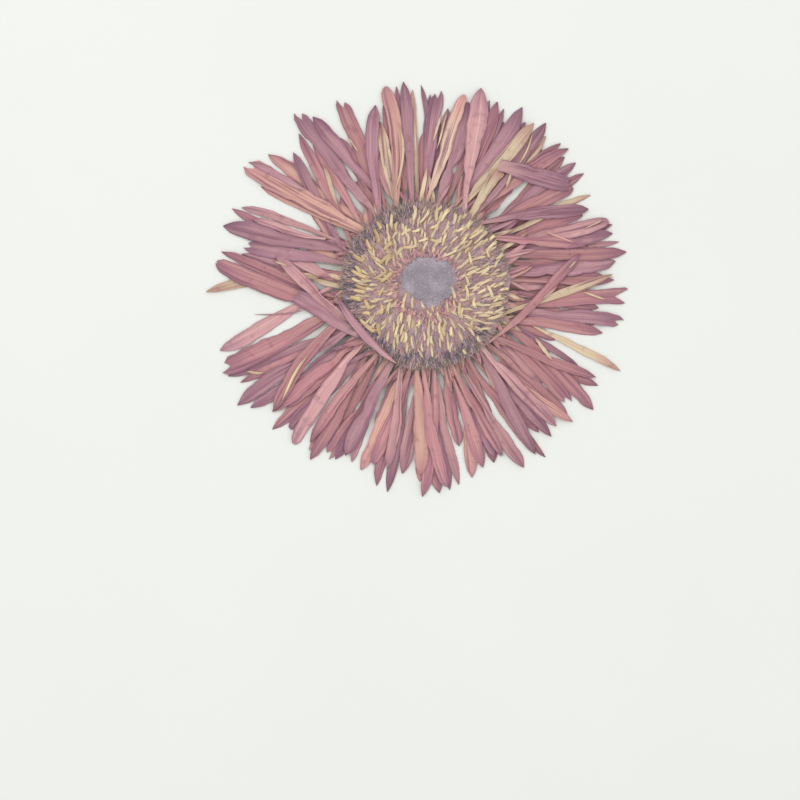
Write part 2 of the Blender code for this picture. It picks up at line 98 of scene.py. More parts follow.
# Petals of the lower layer: bearing of the root and of the tip in degrees, reach from the
# middle, width and bow to the left in mm, kind of end, tone, and level, 0 low to 4 high.
LOWER_PETALS = (
    (36, 29.0, 41.6, 1.6, 0.0, "point", "tan", 2),
    (29, 19.6, 42.9, 3.1, 0.0, "round", "rose", 4),
    (27, 18.0, 43.3, 2.4, 0.0, "point", "brick", 2),
    (25, 15.6, 42.8, 3.1, 0.0, "point", "dusk", 3),
    (21, 12.6, 43.8, 1.5, 0.0, "point", "rose", 1),
    (24, 9.8, 44.9, 2.8, -0.2, "point", "brick", 3),
    (8, 6.9, 42.2, 3.4, 0.0, "point", "dusk", 2),
    (-17, -2.9, 44.7, 3.3, 0.3, "fork", "brick", 2),
    (-20, -10.2, 44.4, 3.0, 0.3, "two", "dusk", 3),
    (-33, -15.0, 40.4, 2.5, 1.4, "point", "brick", 4),
    (-16.5, -23.7, 46.8, 1.8, 0.4, "club", "tan", 1),
    (-22, -27.3, 37.9, 1.4, 0.0, "point", "dusk", 2),
    (-38, -30.0, 43.9, 2.3, -0.6, "point", "brick", 1),
    (-21, -36.3, 45.9, 3.2, 0.5, "point", "brick", 2),
    (46, 34.2, 39.2, 3.2, 0.0, "round", "brick", 4),
    (40, 35.4, 42.8, 2.3, 0.0, "point", "brick", 1),
    (44, 39.3, 42.8, 2.7, 0.0, "point", "dusk", 2),
    (57, 44.1, 43.7, 2.8, 1.2, "point", "brick", 3),
    (57, 46.7, 43.3, 2.0, 0.2, "point", "brick", 2),
    (56, 50.8, 42.3, 2.4, 0.0, "point", "tan", 1),
    (55, 53.3, 44.6, 3.1, 0.0, "point", "dusk", 3),
    (63, 58.4, 42.2, 2.6, 0.0, "point", "dusk", 1),
    (71, 61.4, 44.7, 3.2, -0.2, "point", "dusk", 4),
    (69, 65.8, 42.6, 1.9, 0.0, "point", "dusk", 1),
    (67, 68.5, 43.5, 2.8, 0.0, "point", "brick", 3),
    (66, 71.0, 43.2, 1.7, 0.0, "point", "dusk", 2),
    (80, 76.9, 41.6, 4.0, 0.0, "round", "dusk", 3),
    (76, 82.5, 39.3, 2.4, 0.0, "point", "dusk", 2),
    (97, 85.8, 43.2, 2.9, -0.3, "two_right", "dusk", 3),
    (91, 88.5, 42.1, 1.6, 0.0, "point", "dusk", 1),
    (98, 91.2, 44.2, 1.2, -2.3, "point", "dusk", 2),
    (95, 93.8, 43.2, 2.0, 0.3, "point", "tan", 1),
    (104, 98.3, 44.3, 1.7, 0.0, "point", "brick", 1),
    (112, 105.5, 37.9, 2.4, 0.0, "point", "tan", 2),
    (118, 114.3, 45.2, 3.4, 0.0, "two", "brick", 3),
    (113, 123.6, 44.6, 3.1, -0.3, "club", "dusk", 4),
    (124, 126.8, 47.7, 3.3, 0.0, "two", "dusk", 3),
    (141, 127.2, 41.0, 2.1, 0.0, "point", "brick", 2),
    (161, 129.5, 43.4, 2.3, -0.5, "point", "brick", 4),
    (170, 134.7, 41.2, 2.5, 0.3, "point", "dusk", 3),
    (133, 139.7, 45.0, 2.9, 0.0, "point", "salmon", 1),
    (147, 158.3, 45.7, 2.1, 2.4, "point", "brick", 2),
    (153, 156.6, 43.9, 1.9, -0.8, "club", "rose", 3),
    (156, 162.9, 46.3, 4.0, -0.2, "point", "dusk", 4),
    (163, 167.5, 40.9, 3.0, 0.0, "two", "dusk", 3),
    (176, 170.3, 41.0, 1.9, 0.0, "point", "dusk", 1),
    (195, 170.4, 45.4, 2.2, 0.5, "point", "brick", 2),
    (198, 173.9, 46.4, 3.8, 1.5, "round", "brick", 4),
    (171, 181.3, 48.2, 2.3, -1.1, "point", "tan", 1),
    (172, 197.9, 47.2, 3.2, -0.3, "club", "rose", 3),
    (192, 202.2, 48.5, 4.2, 0.5, "two", "brick", 2),
    (212, 204.8, 47.6, 2.6, 0.0, "point", "dusk", 1),
    (214, 207.4, 45.8, 1.9, 0.0, "point", "brick", 2),
    (208, 212.2, 48.9, 3.3, 0.0, "point", "dusk", 3),
    (219, 215.3, 46.8, 3.0, 0.0, "point", "dusk", 1),
    (20, 7.5, 38.5, 2.6, 0.0, "point", "brick", 1),
    (31, 13.0, 37.5, 2.4, 0.0, "point", "brick", 1),
    (4, 1.8, 41.6, 2.2, 0.0, "point", "brick", 1),
    (172, 141.0, 35.0, 2.6, 0.0, "point", "salmon", 2),
    (166, 160.0, 30.0, 2.4, 0.0, "point", "salmon", 1),
    (183, 165.0, 37.0, 2.8, 0.0, "point", "rose", 2),
    (219, 219.5, 43.5, 3.0, 0.0, "point", "brick", 2),
    (224, 220.5, 41.0, 2.8, 0.0, "point", "brick", 1),
)

# Plain petals at the bottom of the lower layer, which fill in between the others: the same
# bearings, reach and width, then the tone and the end where they differ from the usual ones.
PlainPetal = namedtuple("PlainPetal", "root tip reach width tone end", defaults=("brick", "point"))
PLAIN_PETALS = (
    (-36, -34.8, 37.0, 2.2, "rose"), (-13, -12.0, 39.0, 2.8), (-7, 0.5, 37.0, 2.4),
    (-3, -7.5, 38.5, 2.6), (5, 3.0, 39.5, 2.8), (33, 24.5, 38.0, 2.8), (37, 31.5, 33.4, 2.4),
    (58, 49.5, 39.5, 2.4), (56, 57.0, 41.0, 2.8), (61, 64.5, 40.0, 2.8, "dusk"),
    (77, 71.5, 40.5, 2.4), (83, 79.0, 39.5, 2.6, "dusk"), (92, 90.6, 34.0, 2.4),
    (38, 40.0, 33.5, 2.4), (50, 49.5, 30.5, 2.2), (40.5, 42.8, 41.8, 2.6),
    (0, 0.4, 27.0, 2.0, "rose"), (282, 282.5, 36.0, 2.8), (213.5, 208.0, 28.0, 2.0),
    (136, 133.5, 27.0, 2.4, "rose"), (86, 85.0, 36.0, 2.2, "dusk"), (103, 102.3, 41.5, 2.4),
    (110.5, 111.0, 34.0, 2.4, "rose"), (121, 119.5, 37.5, 2.6),
    (121, 123.0, 27.5, 2.2, "brick", "blunt"), (127.5, 125.5, 38.0, 2.2), (144, 138.0, 37.0, 2.2),
    (152, 153.0, 26.5, 2.0), (170, 174.5, 35.0, 2.6), (184, 187.0, 27.5, 2.2),
    (208, 209.5, 41.0, 2.4), (203, 212.0, 40.0, 2.6, "salmon"), (-23, -22.5, 31.0, 2.0),
    (-27, -28.0, 31.0, 2.2), (-39, -39.5, 33.5, 2.6, "rose"), (-44, -42.5, 43.0, 3.2),
    (238, 237.5, 39.0, 3.0), (252, 252.5, 36.0, 2.8, "rose"), (289, 288.5, 39.0, 3.0),
)

# Petals of the upper layer, in the same terms, with a start radius where one begins at a
# fold and not at the rim.
UPPER_PETALS = (
    (-40.5, -28.4, 42.6, 2.2, 0.0, "point", "brick", 3),
    (-44, 11.8, 34.6, 2.2, -0.9, "point", "brick", 4, 18.5),
    (-30, 3.3, 41.3, 1.8, 0.2, "point", "tan", 1),
    (42, 14.5, 36.5, 2.4, 0.0, "point", "brick", 2),
    (50, 24.7, 39.6, 2.9, 0.7, "point", "dusk", 3, 17.5),
    (57.5, 57.0, 30.4, 2.2, 0.0, "blunt", "tan", 3),
    (58.3, 34.5, 38.8, 3.8, 0.0, "turned", "dusk", 4, 31.0),
    (58, 74.6, 45.1, 4.2, 0.0, "club", "rose", 4),
    (68, 56.3, 43.0, 2.9, 0.0, "point", "tan", 2),
    (92, 78.5, 43.0, 2.6, 0.0, "round", "peach", 3),
    (99.5, 95.8, 45.1, 2.6, 0.0, "point", "dusk", 3),
    (115, 101.0, 44.8, 3.0, -1.4, "round", "salmon", 4),
    (127, 105.3, 41.2, 2.8, 1.25, "point", "dusk", 3),
    (137, 145.8, 47.8, 4.4, 0.0, "two", "salmon", 4),
    (139, 149.0, 42.2, 1.9, 0.0, "point", "salmon", 3),
    (221, 168.8, 33.5, 2.7, 0.0, "point", "rose", 3, 17.5),
    (219, 184.2, 28.4, 2.9, 0.5, "blunt", "dusk", 4, 17.6),
    (196, 219.8, 43.0, 2.9, -1.8, "point", "brick", 2),
)

# A petal that lies over the rim of the disc.
RIM_PETALS = ((250, 186.5, 19.6, 1.7, 1.2, "strip", "dusk", 4, 18.2),)

# Edges that are folded over and show the other side, as narrow strips on their petals, and a
# petal of which only the outer part shows over the others.
TURNED_EDGES = (
    (141.6, 144.9, 47.4, 1.5, -0.3, "strip", "dusk", 4, 33.5),
    (109.0, 99.4, 36.5, 0.5, -1.5, "strip", "tan", 4, 21.0),
    (52.3, 54.9, 41.0, 0.35, -0.5, "strip", "straw", 4, 33.0),
    (24.4, 15.6, 34.2, 0.45, 0.0, "strip", "salmon", 4, 28.8),
    (-6.6, -0.4, 28.9, 0.5, 0.0, "strip", "peach", 4, 26.0),
    (6.7, 9.6, 33.8, 0.35, 0.0, "strip", "tan", 4, 31.6),
    (-2.3, -4.3, 40.0, 0.45, 0.0, "strip", "tan", 4, 34.7),
    (19.6, 20.4, 42.0, 0.35, 0.0, "strip", "tan", 4, 37.0),
    (211.1, 218.8, 40.3, 0.6, -0.5, "strip", "straw", 4, 30.0),
    (208.4, 205.6, 43.4, 0.6, 0.2, "strip", "straw", 4, 40.2),
    (137.8, 129.9, 35.0, 0.9, 0.0, "strip", "tan", 4, 25.8),
    (116.5, 117.4, 37.0, 0.5, 0.0, "strip", "tan", 4, 32.6),
    (108.6, 105.3, 37.4, 0.3, 0.0, "strip", "dusk", 4, 27.5),
    (86.8, 84.6, 38.0, 0.5, 0.0, "strip", "tan", 4, 31.5),
    (85.2, 82.6, 38.5, 0.4, 0.0, "strip", "straw", 4, 30.0),
    (191.3, 189.5, 38.0, 0.3, 0.5, "strip", "dusk", 4, 26.0),
    (172.0, 170.5, 34.0, 0.4, 0.0, "strip", "tan", 4, 30.5),
    (-25.4, -30.4, 32.4, 0.8, 0.0, "strip", "tan", 4, 26.7),
    (155, 158.6, 40.6, 1.7, 0.4, "point", "rose", 4, 24.0),
    (50.1, 52.8, 31.1, 0.6, 0.0, "strip", "tan", 4, 27.8),
)

# What an index is multiplied by, and added to, for the seed of one petal.
SEED_STEP = 7919
SEED_START = 13

# Each group of upper petals counts its indices from a multiple of this.
INDEX_BLOCK = 500

PetalKind = namedtuple("PetalKind", "width lanes")
EVEN_LANES = ((-1.0, 1.0), (1.0, 1.0))

# Widths along a petal as (part of length, part of width), and how far each lane across it
# runs, from the right edge, -1, to the left edge, 1.
STALK = ((0, 0.26), (0.14, 0.38), (0.3, 0.64), (0.5, 0.9))
SLIM_STALK = ((0, 0.22), (0.2, 0.32), (0.4, 0.52), (0.6, 0.84))
TOOTHED = (*STALK, (0.74, 1.0), (0.9, 0.95), (0.96, 0.78), (1, 0.58))
PETAL_KINDS = {
    "point": PetalKind(
        (*STALK, (0.72, 1.0), (0.86, 0.9), (0.945, 0.58), (1, 0.05)), EVEN_LANES
    ),
    "club": PetalKind(
        (*SLIM_STALK, (0.78, 1.0), (0.89, 0.9), (0.955, 0.58), (1, 0.05)), EVEN_LANES
    ),
    "round": PetalKind(
        (*STALK, (0.74, 1.0), (0.9, 0.93), (0.97, 0.66), (1, 0.22)),
        ((-1.0, 0.99), (-0.5, 1.0), (-0.1, 0.985), (0.4, 1.0), (1.0, 0.985)),
    ),
    "two": PetalKind(
        TOOTHED, ((-1.0, 0.93), (-0.6, 0.965), (0.0, 0.93), (0.6, 1.0), (1.0, 0.965))
    ),
    "two_right": PetalKind(
        TOOTHED, ((-1.0, 0.965), (-0.6, 1.0), (0.0, 0.93), (0.6, 0.965), (1.0, 0.93))
    ),
    "fork": PetalKind(
        (*STALK, (0.7, 0.95), (0.86, 1.0), (1, 1.2)),
        ((-1.0, 0.95), (-0.8, 0.98), (0.0, 0.9), (0.8, 1.0), (1.0, 0.98)),
    ),
    "blunt": PetalKind(
        ((0, 0.4), (0.3, 0.7), (0.7, 1.0), (0.97, 0.97), (1, 0.86)),
        ((-1.0, 0.97), (0.2, 1.0), (1.0, 0.98)),
    ),
    "turned": PetalKind(
        ((0, 0.7), (0.2, 0.86), (0.5, 1.0), (0.8, 1.0), (0.94, 0.85), (1, 0.6)),
        ((-1.0, 1.0), (-0.5, 0.97), (0.0, 0.99), (0.5, 0.95), (1.0, 0.97)),
    ),
    "strip": PetalKind(((0, 0.1), (0.15, 0.7), (0.5, 1.0), (0.85, 0.7), (1, 0.08)), EVEN_LANES),
}
RAGGED_KINDS = ("point", "club", "round", "two", "two_right", "blunt")

# How ragged the other kinds are, the waves of a ragged edge as (part of width, waves along
# the petal), and its pinches: their depths as parts of the width, and the ranges of their
# middle and spread as parts of the length.
SMOOTH_KIND = 0.4
EDGE_WAVES = ((0.08, 1.3), (0.055, 3.1), (0.035, 6.7), (0.022, 12.5))
ROUGHNESS_RANGE = (0.5, 1.5)
PINCHES = (0.0, 0.0, 0.35, 0.55)
PINCH_MIDDLE = (0.12, 0.6)
PINCH_SPREAD = (0.05, 0.1)

# How a petal strays to the side: sway of its middle in mm, the length from which it sways in
# full, and lean of its end as a part of its width, from a part of its length on.
SWAY = 0.28
FULL_SWAY_LENGTH = 20.0
TIP_LEAN = 0.12
LEAN_FROM = 0.78

# Relief of a dried petal, in mm: pleats, with their number for each mm of width and how far
# they wander, curled edges, a crease, and long and short waves with their number along it.
RIBS_PER_MM = 0.9
PLEAT = 0.035
PLEAT_WANDER = 0.25
WANDER_TURNS = (0.6, 1.4)
CURL = (-0.02, 0.28)
CREASES = (0.0, 0.08, 0.14, -0.1)
CREASE_SHIFT = 0.4
LONG_WAVE = 0.05
LONG_WAVES = (1.5, 3.0)
SHORT_WAVE = 0.02
SHORT_WAVES = (6.0, 9.0)
FULL_RELIEF_WIDTH = 2.5

# How a petal settles on the stack: the rounds of smoothing, what a point then keeps of its
# height and takes of each neighbour's, along and across, the air under it in mm, and how
# much thinner it is at its edges.
SETTLING_ROUNDS = 14
SETTLING_ALONG = (0.5, 0.25)
SETTLING_ACROSS = (0.6, 0.2)
LAYER_GAP = 0.015
EDGE_THINNING = 0.45

# Angles in degrees from which an edge is shaded as a sharp one.
PETAL_SHARP_ANGLE = 50.0
TUBE_SHARP_ANGLE = 60.0


def linear(*levels):
    """A colour given in the 0 to 255 levels of a screen, in linear light."""
    return tuple(
        (c / 255.0 / 12.92) if c <= 10 else ((c / 255.0 + 0.055) / 1.055) ** 2.4 for c in levels
    )


def tones(*colours):
    """Several such colours."""
    return tuple(linear(*levels) for levels in colours)


# Tones of the petals: the colour at the root, in the middle, at the tip and at the edges.
PETAL_TONES = {
    "brick": tones((211, 166, 158), (191, 136, 140), (165, 117, 130), (151, 110, 126)),
    "rose": tones((217, 177, 170), (207, 158, 160), (181, 136, 145), (163, 122, 138)),
    "dusk": tones((199, 156, 156), (177, 133, 144), (149, 109, 125), (141, 106, 128)),
    "salmon": tones((223, 181, 164), (219, 169, 157), (199, 145, 146), (179, 130, 138)),
    "peach": tones((221, 182, 166), (225, 196, 174), (213, 156, 150), (189, 142, 140)),
    "tan": tones((217, 186, 156), (225, 204, 174), (197, 156, 142), (199, 164, 142)),
    "straw": tones((219, 196, 156), (231, 213, 170), (219, 188, 150), (203, 171, 136)),
}
TONE_NAMES = tuple(PETAL_TONES)
BRUISE_COLOUR = linear(138, 94, 110)
UNDERSIDE_COLOUR = linear(204, 160, 124)

# Petals of the side that can't be seen: the turn from root to tip in degrees, the widths and
# the bow in mm, the part of its own space that a tip keeps to, and their ends and tones.
HIDDEN_TURN = 10.0
HIDDEN_WIDTHS = (2.1, 3.4)
HIDDEN_BOW = 0.9
HIDDEN_SPACE = (0.15, 0.85)
HIDDEN_ENDS = ("point", "club", "point", "round", "point", "two")
HIDDEN_TONES = ("brick", "rose", "brick", "dusk", "salmon")
TONE_STEP = 3
LEVELS = 5

# Short inner petals: their reach and width in mm, their turn in degrees, their tones, and how
# much lower than the long upper ones they root, in mm.
SLIVER_REACHES = (20.0, 26.0)
SLIVER_WIDTHS = (0.6, 1.2)
SLIVER_TURN = 12.0
SLIVER_TONES = ("brick", "salmon", "rose", "tan", "dusk", "brick", "salmon")
SLIVER_DROP = 0.3


def hidden_petals(first, last, count, nearest, furthest, seed):
    """Petals for the side that can't be seen: evenly spread, with seeded sway."""
    draw = random.Random(seed)
    petals = []
    for index in range(count):
        tip = first + (last - first) * (index + draw.uniform(*HIDDEN_SPACE)) / count
        root = tip + draw.uniform(-HIDDEN_TURN, HIDDEN_TURN)
        reach = draw.uniform(nearest, furthest)
        width = draw.uniform(*HIDDEN_WIDTHS)
        bow = draw.uniform(-HIDDEN_BOW, HIDDEN_BOW)
        end = draw.choice(HIDDEN_ENDS)
        tone = HIDDEN_TONES[(index * TONE_STEP) % len(HIDDEN_TONES)]
        petals.append((root, tip, reach, width, bow, end, tone, index % LEVELS))
    return tuple(petals)


def rim_slivers(count, seed):
    """Short inner petals that show between the roots of the long ones."""
    draw = random.Random(seed)
    slivers = []
    for index in range(count):
        bearing = 360.0 * (index + draw.uniform(0.0, 1.0)) / count
        reach = draw.uniform(*SLIVER_REACHES)
        width = draw.uniform(*SLIVER_WIDTHS)
        tone = draw.choice(SLIVER_TONES)
        lean = draw.uniform(-SLIVER_TURN, SLIVER_TURN)
        slivers.append((bearing, bearing + lean, reach, width, 0.0, "strip", tone, LEVELS - 1))
    return tuple(slivers)


LOWER_HIDDEN = hidden_petals(
    first=222.0, last=323.0, count=30, nearest=40.5, furthest=46.5, seed=SEED
)
UPPER_HIDDEN = hidden_petals(
    first=228.0, last=320.0, count=8, nearest=38.0, furthest=45.0, seed=SEED + 1
)


def plain_rows():
    """The plain petals, spelled out as the others are."""
    petals = [PlainPetal(*row) for row in PLAIN_PETALS]
    return tuple((*petal[:4], 0.0, petal.end, petal.tone, 0) for petal in petals)


def rows_of(*tables):
    """Petals from rows, low levels first."""
    petals = [Petal(*row) for table in tables for row in table]
    return sorted(petals, key=lambda petal: petal.level)


def smooth_curve(x, points):
    """A smooth curve through (x, y) points, read at x."""
    xs, ys = np.array(points, float).T
    slopes = np.gradient(ys, xs)
    i = np.clip(np.searchsorted(xs, x, side="right") - 1, 0, len(xs) - 2)
    step = xs[i + 1] - xs[i]
    t = (x - xs[i]) / step
    start = (1 + 2 * t) * (1 - t) ** 2 * ys[i] + t * (1 - t) ** 2 * step * slopes[i]
    end = t * t * (3 - 2 * t) * ys[i + 1] + t * t * (t - 1) * step * slopes[i + 1]
    return start + end


class Stack:
    """The heights of what already lies on the flower, in mm, on a square grid."""

    # Half the side of the grid, the side of a cell, and how far aside a point feels.
    HALF = 52.0
    CELL = 0.25
    REACH = 0.35

    def __init__(self):
        count = int(2 * self.HALF / self.CELL) + 1
        self.top = np.zeros((count, count))

    def cells(self, x, y):
        """The grid cells that points fall in."""
        last = self.top.shape[0] - 1
        column = np.clip(np.rint((x + self.HALF) / self.CELL).astype(int), 0, last)
        row = np.clip(np.rint((y + self.HALF) / self.CELL).astype(int), 0, last)
        return column, row

    def under(self, x, y):
        """The highest thing at or close to each point."""
        reach = self.REACH
        steps = ((0, 0), (reach, 0), (-reach, 0), (0, reach), (0, -reach))
        return np.max([self.top[self.cells(x + dx, y + dy)] for dx, dy in steps], axis=0)

    def lay_disc(self, radius, height):
        """Put the flower's disc on the stack."""
        line = np.arange(self.top.shape[0]) * self.CELL - self.HALF
        inside = np.hypot(line[:, None], line[None, :]) < radius
        self.top[inside] = np.maximum(self.top[inside], height)

    def lay(self, x, y, z):
        """Put a surface on the stack."""
        np.maximum.at(self.top, self.cells(x, y), z)


def base_height(radius, root_height):
    """Height that a layer would lie at on nothing: raised at the rim, sinking to the floor."""
    share = np.clip((radius - RIM_RADIUS) / (FLAT_RADIUS - RIM_RADIUS), 0.0, 1.0)
    return FLOOR_GAP + root_height * (1.0 - share * share * (3.0 - 2.0 * share))


def finer(grid, times):
    """A grid of values read more finely, with straight lines between its values."""
    for axis, count in enumerate(times):
        old = np.arange(grid.shape[axis])
        new = np.linspace(0, grid.shape[axis] - 1, count)
        grid = np.apply_along_axis(lambda line: np.interp(new, old, line), axis, grid)
    return grid


def direction(bearing):
    """The unit vector at a bearing in degrees."""
    return np.array([math.cos(math.radians(bearing)), math.sin(math.radians(bearing))])


def ragged_edges(draw, share, across, ragged):
    """How much wider than planned a petal is at each point, by its own waves on each side."""
    wobble = 0.0
    for side in (-1, 1):
        rough = draw.uniform(*ROUGHNESS_RANGE) * ragged
        wave = sum(
            rough * size * np.sin(2.0 * math.pi * (rate * share + draw.random()))
            for size, rate in EDGE_WAVES
        )
        pinch = draw.choice(PINCHES) * ragged
        middle, spread = draw.uniform(*PINCH_MIDDLE), draw.uniform(*PINCH_SPREAD)
        wave = wave - pinch * np.exp(-(((share - middle) / spread) ** 2))
        wobble = wobble + wave * (across * side > 0)
    return wobble


def petal_plan(petal, draw, stations, lanes):
    """A petal seen from above: x and y in mm, and its shares along and across."""
    kind = PETAL_KINDS[petal.end]
    along = np.linspace(0.0, 1.0, stations)[:, None]
    across = np.linspace(-1.0, 1.0, lanes)[None, :]
    share = along * np.interp(across, *np.array(kind.lanes).T)
    width = petal.width * smooth_curve(share, kind.width)
    start = direction(petal.root) * petal.start
    run = direction(petal.tip) * petal.reach - start
    length = math.hypot(*run)
    left = np.array([-run[1], run[0]]) / length
    sway = draw.uniform(-SWAY, SWAY) * min(1.0, length / FULL_SWAY_LENGTH)
    off = 4.0 * share * (1.0 - share) * petal.bow + sway * np.sin(2.0 * math.pi * share)
    turn = (4.0 * (1.0 - 2.0 * share) * petal.bow) / length
    turn = turn + 2.0 * math.pi * sway * np.cos(2.0 * math.pi * share) / length
    ragged = 1.0 if petal.end in RAGGED_KINDS else SMOOTH_KIND
    lean = draw.uniform(-TIP_LEAN, TIP_LEAN) * petal.width * ragged
    off = off + lean * np.clip((share - LEAN_FROM) / (1.0 - LEAN_FROM), 0.0, 1.0) ** 2
    out = across * width / 2.0 * (1.0 + ragged_edges(draw, share, across, ragged))
    x = start[0] + run[0] * share + left[0] * (off + out) - run[0] / length * turn * out
    y = start[1] + run[1] * share + left[1] * (off + out) - run[1] / length * turn * out
    return x, y, share, across + 0.0 * share


def petal_relief(petal, draw, share, across):
    """The pleats, curled edges and slow waves of a dried petal, in mm over its lowest point."""
    ribs = max(1, round(petal.width * RIBS_PER_MM))
    turns = draw.uniform(*WANDER_TURNS) * share + draw.random()
    wander = PLEAT_WANDER * np.sin(2.0 * math.pi * turns)
    pleats = -PLEAT * np.cos(math.pi * ribs * (across + 1.0 + wander))
    curl_left, curl_right = draw.uniform(*CURL), draw.uniform(*CURL)
    curl = np.abs(across) ** 4 * np.where(across > 0, curl_left, curl_right)
    fold = draw.uniform(-CREASE_SHIFT, CREASE_SHIFT) + 0.5 * wander
    crease = draw.choice(CREASES) * (1.0 - np.abs(across - fold))
    turns = draw.uniform(*LONG_WAVES) * share + draw.random()
    waves = LONG_WAVE * np.sin(2.0 * math.pi * turns)
    turns = draw.uniform(*SHORT_WAVES) * share + across
    waves = waves + SHORT_WAVE * np.sin(2.0 * math.pi * turns)
    relief = (pleats + curl + crease + waves) * np.minimum(1.0, petal.width / FULL_RELIEF_WIDTH)
    return relief - relief.min()


def drape(stack, x, y, root_height):
    """Heights at which a thin blade rests on the stack and on its layer's own base."""
    rest = np.maximum(stack.under(x, y), base_height(np.hypot(x, y), root_height))
    z = rest.copy()
    for _ in range(SETTLING_ROUNDS):
        own, other = SETTLING_ALONG
        near = np.pad(z, ((1, 1), (0, 0)), mode="edge")
        z = np.maximum(rest, own * z + other * (near[:-2] + near[2:]))
        own, other = SETTLING_ACROSS
        side = np.pad(z, ((0, 0), (1, 1)), mode="edge")
        z = np.maximum(rest, own * z + other * (side[:, :-2] + side[:, 2:]))
    return z


def blade_faces(stations, lanes):
    """Faces of a thin closed blade: the upper grid of points, the lower one and the edge."""
    count = stations * lanes
    grid = np.arange(count).reshape(stations, lanes)
    corners = (grid[:-1, :-1], grid[:-1, 1:], grid[1:, 1:], grid[1:, :-1])
    cells = np.stack(corners, -1).reshape(-1, 4)
    ring = np.concatenate([grid[0, :-1], grid[:-1, -1], grid[-1, :0:-1], grid[:0:-1, 0]])
    after = np.roll(ring, -1)
    edge = np.stack([ring, after, after + count, ring + count], -1)
    return np.concatenate([cells[:, [0, 3, 2, 1]], cells + count, edge])


def in_scene(name, data):
    """A new object in the scene."""
    item = bpy.data.objects.new(name, data)
    bpy.context.scene.collection.objects.link(item)
    return item


class PetalMesh:
    """Gathers petals and makes one mesh of them."""

    def __init__(self, stack, settings):
        self.stack = stack
        self.settings = settings
        self.points, self.faces, self.maps = [], [], []
        self.seeds, self.under, self.tones = [], [], []
        self.count = 0

    def add(self, petal, index, root_height, grid=LONG_GRID):
        """Lay one petal on the stack."""
        draw = random.Random(index * SEED_STEP + SEED_START)
        x, y, share, across = petal_plan(petal, draw, *grid)
        relief = petal_relief(petal, draw, share, across) * self.settings.relief
        bottom = drape(self.stack, x, y, root_height) + LAYER_GAP + relief
        thickness = self.settings.thickness / MM
        top = bottom + thickness * (1.0 - EDGE_THINNING * across ** 2)
        fine = [points * times for points, times in zip(grid, FINER_BY)]
        self.stack.lay(finer(x, fine), finer(y, fine), finer(top, fine))
        self.faces.append(blade_faces(*grid) + self.count)
        upper = np.stack([x, y, top], -1).reshape(-1, 3)
        under = np.stack([x, y, bottom], -1).reshape(-1, 3)
        self.points.append(np.concatenate([upper, under]))
        uv = np.stack([(across + 1.0) / 2.0, share], -1).reshape(-1, 2)
        self.maps.append(np.concatenate([uv, uv]))
        self.under.append(np.repeat([0.0, 1.0], len(upper)))
        self.seeds.append(np.full(2 * len(upper), draw.random()))
        self.tones.append(np.full(len(self.faces[-1]), TONE_NAMES.index(petal.tone)))
        self.count += 2 * len(upper)

    def finish(self, name, materials):
        """One mesh object of every petal that was added."""
        points, faces = np.concatenate(self.points) * MM, np.concatenate(self.faces)
        mesh = bpy.data.meshes.new(name)
        mesh.from_pydata(points, [], faces.tolist())
        uv = mesh.uv_layers.new(name="petal_map")
        corners = np.concatenate(self.maps)[faces.reshape(-1)]
        uv.data.foreach_set("uv", corners.reshape(-1))
        for label, values in (("petal_seed", self.seeds), ("petal_underside", self.under)):
            attribute = mesh.attributes.new(label, "FLOAT", "POINT")
            attribute.data.foreach_set("value", np.concatenate(values))
        for material in materials:
            mesh.materials.append(material)
        mesh.polygons.foreach_set("material_index", np.concatenate(self.tones))
        mesh.shade_smooth()
        mesh.set_sharp_from_angle(angle=math.radians(PETAL_SHARP_ANGLE))
        mesh.update()
        return in_scene(name, mesh)


# The disc, in mm: its bed, the felt in its middle, how high the florets pile up on it, and the
# waves of the bed's rim and ribs of the hub, with their depth and number.
DISC_RADIUS = 18.6
BED_BOTTOM = 3.3
BED_TOP = 3.85
FELT_CENTRE = (1.0, 1.1)
FELT_TOP = 4.45
FLORET_PILE = 0.4
BED_SIDES = 120
BED_WAVES = ((0.22, 7, 1.0), (0.16, 13, 0.0), (0.1, 29, 0.0))
FELT_SIDES = 96
HUB_SIDES = 96
HUB_RIBS = ((0.3, 14), (0.1, 5))

# Profile of the bed, as (radius, height) in mm, from its underside round the rim to its top.
BED_PROFILE = (
    (0.5, BED_BOTTOM), (DISC_RADIUS - 1.6, BED_BOTTOM), (DISC_RADIUS - 0.5, BED_BOTTOM + 0.12),
    (DISC_RADIUS - 0.3, BED_BOTTOM + 0.3), (DISC_RADIUS - 1.2, BED_TOP - 0.08),
    (DISC_RADIUS - 3.0, BED_TOP), (8.0, BED_TOP + 0.1), (0.5, BED_TOP + 0.1),
)

# Profile of the felt, as (part of its outline, height in mm), the ripples of its outline and
# the swell of its top, with their depth, number and turn.
FELT_PROFILE = (
    (0.05, BED_BOTTOM), (0.8, BED_BOTTOM), (1.0, BED_TOP), (0.97, 4.12), (0.88, 4.28),
    (0.7, 4.36), (0.5, FELT_TOP), (0.3, FELT_TOP), (0.1, FELT_TOP - 0.04),
)
FELT_RIPPLES = ((0.12, 23, 0.0), (0.08, 41, 1.0))
FELT_SWELL = (0.05, 5, 6)

# Profile of the hub, as (radius, height, depth of the ribs): the scar's with the radius as a
# part of its own, the lip's with what it adds to that, and the rest in mm.
SCAR_PROFILE = ((0.3, 0.06, 0.0), (0.8, 0.0, 0.0), (1.0, 0.0, 0.0))
SCAR_LIP = (0.6, 0.16, 0.2)
HUB_PROFILE = (
    (7.0, 0.5, 0.6), (11.0, 0.8, 0.8), (14.4, 1.0, 0.6), (16.4, 1.3, 0.4), (17.0, 2.0, 0.3),
    (16.6, 2.8, 0.2), (15.4, 3.35, 0.0), (0.6, 3.4, 0.0),
)

